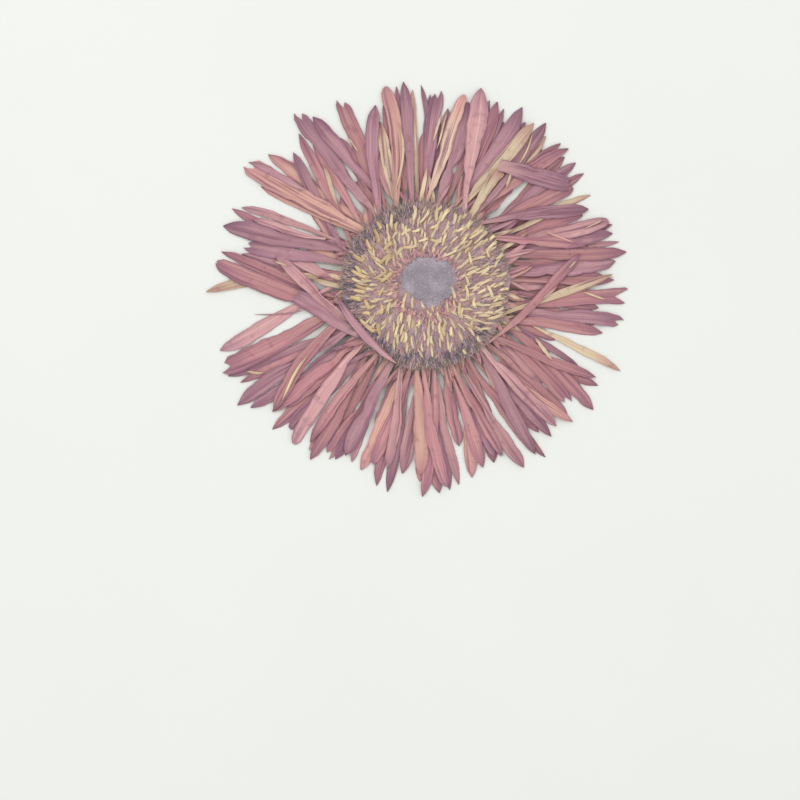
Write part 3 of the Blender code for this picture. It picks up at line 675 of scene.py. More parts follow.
# Radius of the felt at bearings in degrees, as an uneven patch with lobes at its lower edge.
FELT_OUTLINE = (
    (0, 6.1), (25, 6.0), (50, 5.6), (75, 5.0), (100, 5.1), (125, 5.6), (150, 6.0), (175, 6.2),
    (195, 6.3), (212, 5.4), (228, 5.2), (245, 4.9), (258, 5.7), (272, 6.2), (288, 5.4),
    (303, 5.2), (318, 5.7), (335, 6.2), (350, 6.0), (360, 6.1),
)

# Open florets that lie on top, from root to tip: x and y of each end in mm.
TOP_FLORETS = (
    (-6.2, 6.4, -4.7, 8.4), (-5.0, 8.1, -1.3, 8.7), (-5.3, 10.8, -2.8, 12.4),
    (-2.9, 11.6, -0.9, 12.2), (-1.6, 9.4, 0.8, 10.2), (1.0, 9.9, 4.1, 9.6), (3.7, 8.4, 4.6, 11.6),
    (1.0, 12.3, 3.0, 13.1), (3.4, 13.7, 5.3, 16.6), (4.2, 6.3, 7.4, 8.1), (7.4, 8.7, 9.2, 11.0),
    (6.6, 11.6, 8.6, 12.9), (8.7, 6.8, 9.9, 8.4), (9.5, 7.3, 10.1, 4.2), (9.0, 2.1, 11.4, 3.2),
    (8.7, 2.1, 9.5, -0.3), (8.7, 0.0, 9.2, -3.5), (10.6, 8.9, 13.5, 11.8), (9.5, 10.0, 13.1, 12.6),
    (13.3, 7.3, 15.6, 9.4), (13.3, 7.9, 14.0, 5.8), (14.0, 9.7, 15.4, 10.9), (15.0, 3.6, 17.2, 7.1),
    (12.1, 2.1, 14.2, 4.2), (11.6, -0.3, 14.8, 1.5), (11.3, -1.9, 13.5, -0.8),
    (13.5, 0.0, 14.8, -3.0), (14.8, -0.6, 17.4, 0.7), (15.3, 1.8, 18.2, 2.8),
    (14.8, -3.7, 16.6, -1.9), (16.2, -1.2, 18.4, -0.8), (13.7, -5.3, 16.9, -4.1),
    (13.5, -7.4, 17.2, -6.1), (15.0, -6.0, 17.3, -4.8), (11.6, -9.9, 14.5, -9.6),
    (15.4, 5.6, 17.0, 6.9), (5.5, -0.2, 6.6, -3.5), (4.7, -3.2, 5.1, -6.6), (6.2, -3.2, 6.3, -6.4),
    (7.5, -3.7, 7.7, -7.4), (1.6, -3.5, 1.6, -6.1), (-0.8, -3.2, -0.1, -5.3),
    (-2.6, -2.4, -2.9, -5.3), (-2.9, -5.3, -3.7, -9.8), (-4.0, -1.6, -5.0, -5.9),
    (-6.1, 0.5, -7.7, -1.7), (-5.0, -5.9, -5.5, -8.5), (-5.8, -8.5, -6.6, -11.7),
    (1.8, -6.6, 1.6, -8.8), (0.5, -5.4, 0.5, -7.0), (1.3, -11.0, 1.5, -13.2),
    (3.2, -8.0, 3.4, -11.1), (4.1, -8.5, 4.1, -11.1), (5.7, -9.0, 5.8, -11.4),
    (8.2, -4.8, 7.9, -7.4), (10.8, -2.7, 10.9, -5.2), (11.1, -6.4, 9.8, -9.8),
    (-9.8, -11.1, -10.3, -8.0), (8.2, -14.0, 9.0, -15.1), (11.3, -11.1, 12.0, -12.5),
    (-15.8, 6.8, -12.9, 5.0), (-15.3, 4.2, -14.0, 2.2), (-16.1, 3.2, -12.2, 1.4),
    (-15.8, -1.1, -12.7, -1.6), (-15.3, 0.1, -12.4, -0.8), (-16.4, -2.7, -13.6, -3.2),
    (-13.2, -3.2, -12.1, -5.4), (-13.7, -6.1, -11.8, -6.4), (-14.2, -7.4, -11.1, -9.8),
    (-13.2, -8.6, -10.5, -10.3), (-12.8, 10.0, -11.3, 7.3), (-11.1, 12.1, -10.0, 8.7),
    (-10.5, 13.9, -9.4, 11.9), (-7.3, 15.5, -7.5, 12.0), (-9.0, 7.6, -7.0, 9.4),
    (-10.0, 4.4, -7.1, 7.1), (-8.6, 4.2, -7.2, 6.5), (-11.3, 1.3, -7.9, 3.2),
    (-9.8, 0.6, -6.9, 3.2), (-7.1, 10.0, -5.8, 11.7), (-2.6, 13.8, -2.2, 17.5),
    (-1.3, 13.4, 1.1, 16.6), (2.4, 13.7, 2.8, 17.1), (6.1, 13.1, 6.7, 15.8), (7.1, 13.4, 7.8, 15.6),
    (9.2, 12.1, 10.1, 14.3), (2.7, -4.6, 2.9, -7.6), (-1.4, -6.4, -1.7, -9.4),
    (-7.6, -3.6, -8.3, -6.4), (-9.5, -4.2, -9.9, -6.6), (-8.9, -0.4, -10.4, -2.6),
    (-4.3, -10.2, -4.6, -12.8), (12.4, 13.0, 11.0, 10.9),
)

# Direction in degrees in which the florets are combed, at bearings round the disc.
COMBING = (
    (-30, 5), (0, 20), (30, 32), (60, 52), (90, 72), (120, 100), (150, 118), (170, 165),
    (190, 180), (215, 235), (240, 262), (270, 270), (300, 278), (325, 345), (330, 365),
)

# The arc in degrees in which the rim of the disc is dark, how far out the lower florets reach
# in it, and the x to the left of which the top florets are shaded, in mm.
DARK_ARC = (100.0, 325.0)
CLEAR_OF_RIM = 16.2
SHADED_SIDE = -8.0

# Tones of what stands on the disc: at the root, in the middle, at the tip and at the edges.
CLOSED_TONES = (
    tones((164, 128, 138), (192, 150, 150), (206, 168, 164), (162, 132, 144)),
    tones((140, 122, 140), (164, 144, 160), (190, 168, 174), (138, 122, 142)),
)
SHADED_TONES = tones((198, 162, 128), (210, 186, 142), (220, 198, 152), (190, 156, 116))
BUD_TONES = tones((176, 136, 144), (204, 158, 156), (214, 174, 168), (176, 140, 150))

# Colours at the root and at the edges of the open florets, whose middle takes the pollen's
# colour, the shares of the two kinds of closed ones, and what the pollen's colour is
# multiplied by in the lower florets and at the tips of the top ones.
LOWER_ENDS = tones((208, 170, 150), (206, 176, 142))
TOP_ENDS = tones((212, 174, 132), (206, 174, 128))
CLOSED_SHARES = (0.6, 0.4)
DULLER = 0.9
BRIGHTER = 1.06

# Colours of the bruises on the closed, the lower and the top florets and on the buds.
CLOSED_BRUISE = linear(150, 114, 130)
LOWER_BRUISE = linear(184, 150, 132)
TOP_BRUISE = linear(172, 130, 92)
BUD_BRUISE = linear(150, 112, 130)

# What the felt's colour is multiplied by in its hollows (painted shade), on its hairs and at their
# tips.
FELT_SHADE_AND_HAIR_TONES = (0.76, 1.35, 2.0)

# Colours of the disc's ground, and of the edges of the bracts and their bruises, with what
# the bracts' own colour is multiplied by where they are dark and where they are pale.
GROUND_COLOURS = tones((178, 150, 156), (192, 156, 156), (164, 146, 156))
BRACT_EDGE = linear(112, 70, 62)
BRACT_BRUISE = linear(96, 74, 60)
BRACT_SHADES = (0.6, 1.35)

# Fine hairs: name, share of their number, nearest and furthest radius in mm, and tones at the
# root, in the middle and at the tip. The grey ones grow in the dark arc only.
HAIR_KINDS = (
    ("rosy_hair", 0.45, 4.2, 17.8, tones((184, 150, 154), (210, 174, 170), (222, 194, 184))),
    ("pale_hair", 0.3, 7.0, 18.0, tones((196, 172, 162), (220, 200, 176), (234, 216, 190))),
    ("grey_hair", 0.4, 15.4, 17.9, tones((118, 108, 122), (138, 128, 136), (160, 152, 150))),
)
BRISTLE_KINDS = (
    ("grey_bristle", 0.75, tones((150, 134, 140), (166, 150, 152), (180, 166, 162))),
    ("straw_bristle", 0.25, tones((182, 156, 132), (204, 182, 148), (218, 198, 164))),
)

# Steps of the small shapes, as (part of length, part of width), and how far each copy bends
# to the side, in widths.
CLOSED_STEPS = ((0.0, 0.2), (0.14, 0.34), (0.42, 0.42), (0.7, 0.5), (0.86, 0.38), (1.0, 0.05))
OPEN_STEPS = ((0.0, 0.24), (0.1, 0.4), (0.4, 0.46), (0.7, 0.5), (0.82, 0.44))
LIP_STEPS = ((0.0, 0.22), (0.4, 0.27), (0.8, 0.2), (1.0, 0.04))
HAIR_STEPS = ((0.0, 0.5), (0.5, 0.42), (1.0, 0.06))
FELT_HAIR_STEPS = ((0.0, 0.5), (0.4, 0.4), (0.75, 0.26), (1.0, 0.05))
BRISTLE_STEPS = ((0.0, 0.5), (0.35, 0.42), (0.7, 0.3), (1.0, 0.06))
BUD_STEPS = ((0.0, 0.3), (0.2, 0.46), (0.6, 0.5), (0.85, 0.36), (1.0, 0.08))
BRACT_STEPS = ((0.0, 0.7), (0.15, 0.86), (0.4, 1.0), (0.65, 0.9), (0.85, 0.5), (1.0, 0.05))
FLORET_BENDS = (0.0, 0.22, -0.2, 0.42, -0.38)
HAIR_BENDS = (0.0, 1.0, -1.0, 2.0)
FELT_HAIR_BENDS = (0.0, 2.4, -2.4)
BRISTLE_BENDS = (0.0, 1.4, -1.4, 2.6)
BUD_BENDS = (0.0, 0.2, -0.2)
BRACT_BENDS = (0.0, 0.12, -0.14)
BRACT_SIDES = 10
BRACT_THICKNESS = 0.16

# The two lips of an open floret: the side, and the length as a part of the floret's.
LIPS = ((1.0, 0.3), (-1.0, 0.24))
LIP_START = 0.7
LIP_OFFSET = 0.22
LIP_CURL = 0.12

# The dried leaves round the back, from the outer row in: number, radius of their roots,
# height, length and width in mm.
BRACT_ROWS = ((34, 9.0, 1.15, 8.6, 3.2), (30, 6.4, 0.85, 6.8, 3.0), (24, 4.6, 0.55, 4.6, 2.4))

# Bearing from one strewn floret to the next, in degrees, which keeps them evenly spread.
GOLDEN_ANGLE = 137.508
STREWN_SWAY = 6.0

# What is strewn: nearest and furthest radius, lengths in mm, and how far it strays from the
# combed direction, in degrees.
CLOSED_STREWN = (4.3, 17.6, (1.8, 3.0), 12.0)
LOWER_STREWN = (7.0, 17.3, (2.0, 3.1), 10.0)
HAIR_LENGTHS = (1.4, 2.6)
HAIR_STRAY = 20.0

# Widths of the kinds of florets, as parts of the width that is set.
CLOSED_GIRTH = 0.78
LOWER_GIRTH = 0.9
SHADED_GIRTH = 1.25
BRIGHT_GIRTH = 1.0

# How a floret lies: points along it that feel what is under it, its steepest slope, how deep
# its root sinks in mm, and its width and height as parts of what they should be.
FEELERS = 9
STEEPEST = 0.25
ROOT_SINK = 0.06
WIDTH_SHARES = (0.85, 1.15)
HEIGHT_SHARES = (0.7, 0.95)

# How far to each side of a floret the next ones feel it, and how high, in its widths.
PILE_SIDES = (-0.3, 0.0, 0.3)
PILE_HEIGHT = 0.22

# Veins of the florets, the depth of their relief in mm, and how strongly each kind is bruised.
FLORET_VEINS = 3.0
FLORET_RELIEF = 0.05
LOWER_CONTRAST = 0.6
TOP_CONTRAST = 0.85
HAIR_CONTRAST = 0.5
BRISTLE_CONTRAST = 0.4

# Seeds of what is strewn and placed, for its places, its sizes or both.
CLOSED_SEEDS = (SEED + 30, SEED + 32)
LOWER_SEEDS = (SEED + 40, SEED + 41)
TOP_SEEDS = (SEED + 50, SEED + 51)
BRISTLE_SEED = SEED + 60
HAIR_SEEDS = (SEED + 70, SEED + 75)
FELT_SEED = SEED + 70
BUD_SEED = SEED + 71
BRACT_SEED = SEED + 80


def tube_rings(steps, sides, width, height, bend=0.0, groove=0.0):
    """Rings of a tapered tube along +X, one unit long, from (share, size) steps."""
    rings = []
    for share, size in steps:
        angles = np.radians(-90.0 + 360.0 * np.arange(sides) / sides)
        dent = 1.0 - groove * np.maximum(0.0, np.sin(angles)) ** 4
        y = width * size * np.cos(angles) + bend * 4.0 * share * (1.0 - share)
        z = height * size * (np.sin(angles) * dent + 1.0)
        rings.append(np.stack([np.full(sides, share), y, z], -1))
    return np.array(rings)


def loft(name, rings):
    """A closed mesh through rings of points, with a map of round and along."""
    count, sides = rings.shape[:2]
    grid = np.arange(count * sides).reshape(count, sides)
    beside = np.roll(grid, -1, axis=1)
    quads = np.stack([grid[:-1], beside[:-1], beside[1:], grid[1:]], -1).reshape(-1, 4)
    mesh = bpy.data.meshes.new(name)
    mesh.from_pydata(
        rings.reshape(-1, 3), [], quads.tolist() + [grid[0, ::-1].tolist(), grid[-1].tolist()]
    )
    shares = np.repeat(np.linspace(0.0, 1.0, count), sides)
    around = np.tile(np.arange(sides) / sides, count)
    corners = np.zeros(len(mesh.loops), int)
    mesh.loops.foreach_get("vertex_index", corners)
    uv = mesh.uv_layers.new(name="petal_map")
    uv.data.foreach_set("uv", np.stack([around, shares], -1)[corners].reshape(-1))
    mesh.shade_smooth()
    mesh.set_sharp_from_angle(angle=math.radians(TUBE_SHARP_ANGLE))
    return mesh


def shape_box(name, meshes):
    """A collection of shapes for a Geometry Nodes tree to place, away from the scene."""
    box = bpy.data.collections.new(name)
    for index, mesh in enumerate(meshes):
        box.objects.link(bpy.data.objects.new(f"{name}_{index}", mesh))
    return box


def empty_box(box):
    """Remove a collection of shapes and its objects."""
    for item in list(box.objects):
        bpy.data.objects.remove(item)
    bpy.data.collections.remove(box)


def add_node(tree, kind, inputs=None, **settings):
    """A node with its settings made, and its inputs set to values or joined to outputs."""
    node = tree.nodes.new(kind)
    for name, value in settings.items():
        setattr(node, name, value)
    for key, value in (inputs or {}).items():
        if isinstance(value, bpy.types.NodeSocket):
            tree.links.new(value, node.inputs[key])
        else:
            node.inputs[key].default_value = value
    return node


def sum_of(tree, operation, first, second=0.5, third=0.5):
    """The output of a math node."""
    kind = "ShaderNodeMath"
    return add_node(tree, kind, {0: first, 1: second, 2: third}, operation=operation).outputs[0]


# Seeds of the placing trees, and the highest number that picks a shape for a place.
PICK_SEED = 0
MARK_SEED = 1
LAST_PICK = 7
COVER_SEEDS = (21, 22, 23)


def placing_tree(name, sizes):
    """A Geometry Nodes tree with a geometry input and output and the named inputs."""
    tree = bpy.data.node_groups.new(name, "GeometryNodeTree")
    tree.interface.new_socket("Geometry", in_out="INPUT", socket_type="NodeSocketGeometry")
    tree.interface.new_socket("Shapes", in_out="INPUT", socket_type="NodeSocketCollection")
    tree.interface.new_socket("Material", in_out="INPUT", socket_type="NodeSocketMaterial")
    for label, kind, value in sizes:
        socket = tree.interface.new_socket(label, in_out="INPUT", socket_type=kind)
        socket.default_value = value
    tree.interface.new_socket("Geometry", in_out="OUTPUT", socket_type="NodeSocketGeometry")
    return tree, tree.nodes.new("NodeGroupInput").outputs, tree.nodes.new("NodeGroupOutput").inputs


def read_attribute(tree, name, kind):
    """The output of a node that reads a named attribute."""
    inputs = {"Name": name}
    node = add_node(tree, "GeometryNodeInputNamedAttribute", inputs, data_type=kind)
    return node.outputs["Attribute"]


def random_value(tree, low, high, seed, vector=False):
    """The output of a random value between two limits."""
    kind, first = ("FLOAT_VECTOR", 0) if vector else ("FLOAT", 2)
    inputs = {first: low, first + 1: high, "Seed": seed}
    node = add_node(tree, "FunctionNodeRandomValue", inputs, data_type=kind)
    return node.outputs[0 if vector else 1]


def finish_placing(tree, source, target, points, turn, size):
    """Put a shape on each point, mark each copy with a random number and make all of it real."""
    shapes = add_node(
        tree,
        "GeometryNodeCollectionInfo",
        {"Collection": source["Shapes"], "Separate Children": True, "Reset Children": True},
    )
    pick = add_node(
        tree, "FunctionNodeRandomValue", {4: 0, 5: LAST_PICK, "Seed": PICK_SEED}, data_type="INT"
    )
    placed = add_node(
        tree,
        "GeometryNodeInstanceOnPoints",
        {
            "Points": points,
            "Instance": shapes.outputs[0],
            "Pick Instance": True,
            "Instance Index": pick.outputs[2],
            "Rotation": turn,
            "Scale": size,
        },
    )
    marked = add_node(
        tree,
        "GeometryNodeStoreNamedAttribute",
        {
            "Geometry": placed.outputs[0],
            "Name": "petal_seed",
            "Value": random_value(tree, 0.0, 1.0, MARK_SEED),
        },
        data_type="FLOAT",
        domain="INSTANCE",
    )
    real = add_node(tree, "GeometryNodeRealizeInstances", {"Geometry": marked.outputs[0]})
    dressed = add_node(
        tree,
        "GeometryNodeSetMaterial",
        {"Geometry": real.outputs[0], "Material": source["Material"]},
    )
    tree.links.new(dressed.outputs[0], target[0])


def listed_tree():
    """Places shapes on points that carry their own turn and size."""
    tree, source, target = placing_tree("Listed places", ())
    turn = add_node(
        tree, "FunctionNodeEulerToRotation", {0: read_attribute(tree, "turn", "FLOAT_VECTOR")}
    )
    size = read_attribute(tree, "size", "FLOAT_VECTOR")
    finish_placing(tree, source, target, source["Geometry"], turn.outputs[0], size)
    return tree


def ring_tree():
    """Places shapes round a ring, pointing outward, with random sway."""
    sizes = (
        ("Count", "NodeSocketInt", 12),
        ("Radius", "NodeSocketFloat", 0.01),
        ("Spread", "NodeSocketFloat", 0.001),
        ("Height", "NodeSocketFloat", 0.0),
        ("Height Spread", "NodeSocketFloat", 0.0),
        ("Jitter", "NodeSocketFloat", 0.3),
        ("Rise", "NodeSocketFloat", 0.0),
        ("Rise Spread", "NodeSocketFloat", 0.1),
        ("Sway", "NodeSocketFloat", 0.2),
        ("Smallest", "NodeSocketVector", (0.001, 0.001, 0.001)),
        ("Largest", "NodeSocketVector", (0.001, 0.001, 0.001)),
        ("Seed", "NodeSocketInt", 1),
    )
    tree, source, target = placing_tree("Ring of places", sizes)
    seed = source["Seed"]
    least = sum_of(tree, "MULTIPLY", source["Jitter"], -1.0)
    jitter = random_value(tree, least, source["Jitter"], seed)
    index = add_node(tree, "GeometryNodeInputIndex").outputs[0]
    share = sum_of(tree, "DIVIDE", sum_of(tree, "ADD", index, jitter), source["Count"])
    bearing = sum_of(tree, "MULTIPLY", share, 2.0 * math.pi)

    def swayed(base, spread, offset):
        """A value that strays from its base by no more than the spread."""
        low = sum_of(tree, "MULTIPLY", spread, -1.0)
        draw = random_value(tree, low, spread, sum_of(tree, "ADD", seed, offset))
        return sum_of(tree, "ADD", base, draw)

    radius = swayed(source["Radius"], source["Spread"], 1.0)
    height = swayed(source["Height"], source["Height Spread"], 2.0)
    rise = swayed(source["Rise"], source["Rise Spread"], 3.0)
    heading = swayed(bearing, source["Sway"], 4.0)
    place = add_node(
        tree,
        "ShaderNodeCombineXYZ",
        {
            0: sum_of(tree, "MULTIPLY", radius, sum_of(tree, "COSINE", bearing)),
            1: sum_of(tree, "MULTIPLY", radius, sum_of(tree, "SINE", bearing)),
            2: height,
        },
    )
    points = add_node(
        tree, "GeometryNodePoints", {"Count": source["Count"], "Position": place.outputs[0]}
    )
    euler = add_node(
        tree, "ShaderNodeCombineXYZ", {1: sum_of(tree, "MULTIPLY", rise, -1.0), 2: heading}
    )
    turn = add_node(tree, "FunctionNodeEulerToRotation", {0: euler.outputs[0]})
    size = random_value(
        tree, source["Smallest"], source["Largest"], sum_of(tree, "ADD", seed, 5.0), vector=True
    )
    finish_placing(tree, source, target, points.outputs[0], turn.outputs[0], size)
    return tree


def cover_tree():
    """Scatters shapes over the faces of a mesh, leaning over in random directions."""
    sizes = (
        ("Density", "NodeSocketFloat", 1.0e6),
        ("Lean", "NodeSocketFloat", 1.2),
        ("Smallest", "NodeSocketVector", (0.001, 0.001, 0.001)),
        ("Largest", "NodeSocketVector", (0.001, 0.001, 0.001)),
        ("Seed", "NodeSocketInt", 1),
    )
    tree, source, target = placing_tree("Cover of places", sizes)
    points = add_node(
        tree,
        "GeometryNodeDistributePointsOnFaces",
        {"Mesh": source["Geometry"], "Density": source["Density"], "Seed": source["Seed"]},
    )
    heading_seed, rise_seed, size_seed = COVER_SEEDS
    heading = random_value(tree, 0.0, 2.0 * math.pi, heading_seed)
    rise = random_value(tree, 0.0, source["Lean"], rise_seed)
    down = sum_of(tree, "MULTIPLY", rise, -1.0)
    euler = add_node(tree, "ShaderNodeCombineXYZ", {1: down, 2: heading})
    turn = add_node(tree, "FunctionNodeEulerToRotation", {0: euler.outputs[0]})
    size = random_value(tree, source["Smallest"], source["Largest"], size_seed, vector=True)
    finish_placing(tree, source, target, points.outputs[0], turn.outputs[0], size)
    return tree


def grown(name, tree, mesh, shapes, material, **values):
    """The plain mesh object that a placing tree grows from a mesh."""
    seedling = in_scene(name + "_seedling", mesh)
    box = shape_box(name + "_shapes", shapes)
    modifier = seedling.modifiers.new(tree.name, "NODES")
    modifier.node_group = tree
    values = {"Shapes": box, "Material": material, **values}
    for socket in tree.interface.items_tree:
        if socket.in_out == "INPUT" and socket.name.replace(" ", "_") in values:
            modifier[socket.identifier] = values[socket.name.replace(" ", "_")]
    graph = bpy.context.evaluated_depsgraph_get()
    made = bpy.data.meshes.new_from_object(seedling.evaluated_get(graph), depsgraph=graph)
    made.name = name
    bpy.data.objects.remove(seedling)
    empty_box(box)
    return in_scene(name, made)


def group_ends(name, inputs, outputs):
    """A shader node group with named inputs and outputs."""
    group = bpy.data.node_groups.new(name, "ShaderNodeTree")
    for label, kind, value in inputs:
        socket = group.interface.new_socket(label, in_out="INPUT", socket_type=kind)
        socket.default_value = value
    for label, kind in outputs:
        group.interface.new_socket(label, in_out="OUTPUT", socket_type=kind)
    return group, group.nodes.new("NodeGroupInput").outputs, group.nodes.new("NodeGroupOutput").inputs


def blended(tree, share, first, second, blend="MIX"):
    """The output of a colour mix."""
    node = add_node(
        tree, "ShaderNodeMix", {0: share, 6: first, 7: second}, data_type="RGBA", blend_type=blend
    )
    return node.outputs[2]


def masked(tree, value, mask):
    """A value taken smoothly from the range of a mask to what the mask gives."""
    low, high, to_low, to_high = (*MASKS[mask], 0.0, 1.0)[:4]
    node = add_node(
        tree,
        "ShaderNodeMapRange",
        {0: value, 1: low, 2: high, 3: to_low, 4: to_high},
        interpolation_type="SMOOTHSTEP",
    )
    return node.outputs[0]


def noise_at(tree, place, scale, detail=3.0, roughness=0.55):
    """The output of a noise."""
    inputs = {"Vector": place, "Scale": scale, "Detail": detail, "Roughness": roughness}
    return add_node(tree, "ShaderNodeTexNoise", inputs).outputs[0]


# Streaks of the dried tissue: how often they come across and along it, offset and detail.
WIDE_STREAKS = (3.2, 1.1, 0.0, 2.0)
FINE_STREAKS = (15.0, 2.4, 4.0, 3.0)
HAIR_STREAKS = (46.0, 7.0, 9.0, 2.0)
VEIN_STREAKS = (7.0, 4.0, 15.0, 2.0)

# What a petal's seed is multiplied by, so that each has streaks and a shade of its own.
STREAK_SHIFT = 57.0
SHADE_SHIFT = 13.7

# How far the streaks move the tones along a petal and its darker sides and end, and how far
# they bend its veins.
TONE_BLUR = 0.5
SIDE_BLUR = 0.22
END_BLUR = 0.04
VEIN_BLUR = 0.1

# What a vein adds to the shade, the range and the least of a petal's own shade, and the
# heights of veins, streaks and fine streaks.
VEIN_SHADE = -0.16
OWN_SHADE = (0.26, 0.88)
VEIN_HEIGHT = -0.6
STREAK_HEIGHT = 0.9
FINEST_HEIGHT = 0.35

# Noises: how often they come in a metre, detail and roughness.
SPOT_NOISE = (420.0, 4.0)
FELT_HAIR_NOISE = (2600.0, 4.0, 0.7)
FELT_PATCH_NOISE = (260.0, 3.0)
FLOOR_TOOTH = (900.0, 4.0)
FLOOR_MOTTLE = 14.0

# The ground's coarse noise and depth of relief in mm, of the disc and of the hub, and the fine
# noise over it: how much finer, and its detail.
DISC_GRAIN = (520.0, 0.2)
HUB_GRAIN = (380.0, 0.3)
FINE_GRAIN = (4.7, 4.0)

# The felt and the floor: roughness, depth of relief in mm and its strength. How the felt's
# hairs are drawn out, how high its patches stand, and its sheen. The floor's darker share.
FELT_SURFACE = (0.85, 0.12, 0.8)
FELT_STRETCH = (2.6, 0.8, 1.0)
FELT_PATCH_HEIGHT = 1.4
FELT_SHEEN = 0.25
FLOOR_SURFACE = (0.9, 0.02, 0.3)
FLOOR_DARKER = 0.985

# Veins and depth of relief in mm of hairs.
HAIR_VEINS = 1.0
HAIR_RELIEF = 0.02

# Where each mask of a material starts and is full, and what it gives there.
MASKS = {
    "vein": (0.0, 0.5),
    "broken vein": (0.3, 0.62, 0.15, 1.0),
    "root to middle": (0.22, 0.66),
    "middle to tip": (0.95, 1.22),
    "bruise": (0.54, 0.68, 0.0, 0.75),
    "pale": (0.48, 0.36),
    "spot": (0.56, 0.72, 0.0, 0.4),
    "side": (0.88, 1.1, 0.0, 0.75),
    "end": (0.96, 1.02, 0.0, 0.7),
    "shade": (0.3, 0.7, 0.88, 1.12),
    "faint shade": (0.3, 0.7, 0.95, 1.05),
    "tissue roughness": (0.3, 0.7, 0.62, 0.82),
    "underside": (0.4, 0.6, 0.0, 0.55),
    "ground patch": (0.38, 0.62),
    "ground speck": (0.48, 0.7),
    "ground roughness": (0.3, 0.7, 0.7, 0.9),
    "felt hollow shade": (0.4, 0.62),
    "felt hair": (0.5, 0.7),
    "floor mottle": (0.3, 0.7),
}

# How far the pale parts of a petal go towards the tone of its root.
PALE_SHARE = 0.42


def dried_tissue():
    """The group of dried tissue, made once."""
    return bpy.data.node_groups.get("Dried tissue") or dried_tissue_group()


def tissue_colour(tree, source, across, along, wide, fine):
    """Colour along a petal, with its bruises, pale parts, spots and darker edges."""
    near = sum_of(tree, "MULTIPLY_ADD", wide, TONE_BLUR, along)
    share = masked(tree, near, "root to middle")
    colour = blended(tree, share, source["Root"], source["Middle"])
    colour = blended(tree, masked(tree, near, "middle to tip"), colour, source["Tip"])
    patch = sum_of(tree, "MULTIPLY", masked(tree, wide, "bruise"), source["Contrast"])
    bruised = blended(tree, patch, colour, source["Bruise"])
    pale = blended(tree, PALE_SHARE, bruised, source["Root"])
    colour = blended(tree, masked(tree, wide, "pale"), bruised, pale)
    spots = noise_at(tree, source["Place"], *SPOT_NOISE)
    colour = blended(tree, masked(tree, spots, "spot"), colour, source["Bruise"])
    side = sum_of(tree, "ABSOLUTE", sum_of(tree, "MULTIPLY_ADD", across, 2.0, -1.0))
    rim = sum_of(tree, "MULTIPLY_ADD", fine, SIDE_BLUR, side)
    colour = blended(tree, masked(tree, rim, "side"), colour, source["Edge"])
    end = sum_of(tree, "MULTIPLY_ADD", fine, END_BLUR, along)
    colour = blended(tree, masked(tree, end, "end"), colour, source["Edge"])
    return colour


def dried_tissue_group():
    """Colour, roughness and relief of dried petal: veins, streaks, bruises and darker edges."""
    inputs = (
        ("Map", "NodeSocketVector", (0, 0, 0)),
        ("Place", "NodeSocketVector", (0, 0, 0)),
        ("Seed", "NodeSocketFloat", 0.0),
        ("Root", "NodeSocketColor", (1, 1, 1, 1)),
        ("Middle", "NodeSocketColor", (1, 1, 1, 1)),
        ("Tip", "NodeSocketColor", (1, 1, 1, 1)),
        ("Edge", "NodeSocketColor", (1, 1, 1, 1)),
        ("Bruise", "NodeSocketColor", (1, 1, 1, 1)),
        ("Veins", "NodeSocketFloat", 6.0),
        ("Contrast", "NodeSocketFloat", 1.0),
    )
    outputs = (
        ("Color", "NodeSocketColor"),
        ("Roughness", "NodeSocketFloat"),
        ("Height", "NodeSocketFloat"),
    )
    tree, source, target = group_ends("Dried tissue", inputs, outputs)
    split = add_node(tree, "ShaderNodeSeparateXYZ", {0: source["Map"]})
    across, along = split.outputs[0], split.outputs[1]
    shift = sum_of(tree, "MULTIPLY", source["Seed"], STREAK_SHIFT)

    def streaks(rate_across, rate_along, offset, detail):
        """A noise drawn out along the petal, different on each."""
        place = add_node(
            tree,
            "ShaderNodeCombineXYZ",
            {
                0: sum_of(tree, "MULTIPLY_ADD", across, rate_across, shift),
                1: sum_of(tree, "MULTIPLY_ADD", along, rate_along, offset),
                2: shift,
            },
        )
        return noise_at(tree, place.outputs[0], 1.0, detail)

    wide = streaks(*WIDE_STREAKS)
    fine = streaks(*FINE_STREAKS)
    hair = streaks(*HAIR_STREAKS)
    bend = sum_of(tree, "MULTIPLY_ADD", fine, VEIN_BLUR, across)
    turns = sum_of(tree, "MULTIPLY", sum_of(tree, "MULTIPLY", bend, source["Veins"]), math.pi)
    wave = sum_of(tree, "ABSOLUTE", sum_of(tree, "SINE", turns))
    vein = sum_of(tree, "SUBTRACT", 1.0, masked(tree, wave, "vein"))
    broken = masked(tree, streaks(*VEIN_STREAKS), "broken vein")
    vein = sum_of(tree, "MULTIPLY", vein, broken)

    colour = tissue_colour(tree, source, across, along, wide, fine)
    own = sum_of(tree, "FRACT", sum_of(tree, "MULTIPLY", source["Seed"], SHADE_SHIFT))
    shade = masked(tree, fine, "shade")
    for factor in (
        masked(tree, hair, "faint shade"),
        sum_of(tree, "MULTIPLY_ADD", vein, VEIN_SHADE, 1.0),
        sum_of(tree, "MULTIPLY_ADD", own, *OWN_SHADE),
    ):
        shade = sum_of(tree, "MULTIPLY", shade, factor)
    level = add_node(tree, "ShaderNodeCombineColor", {0: shade, 1: shade, 2: shade}).outputs[0]
    tree.links.new(blended(tree, 1.0, colour, level, "MULTIPLY"), target["Color"])
    tree.links.new(masked(tree, fine, "tissue roughness"), target["Roughness"])
    streaked = sum_of(tree, "MULTIPLY", fine, STREAK_HEIGHT)
    height = sum_of(tree, "MULTIPLY_ADD", vein, VEIN_HEIGHT, streaked)
    tree.links.new(sum_of(tree, "MULTIPLY_ADD", hair, FINEST_HEIGHT, height), target["Height"])
    return tree


def rgba(colour):
    """A colour with full cover."""
    return (*colour[:3], 1.0)


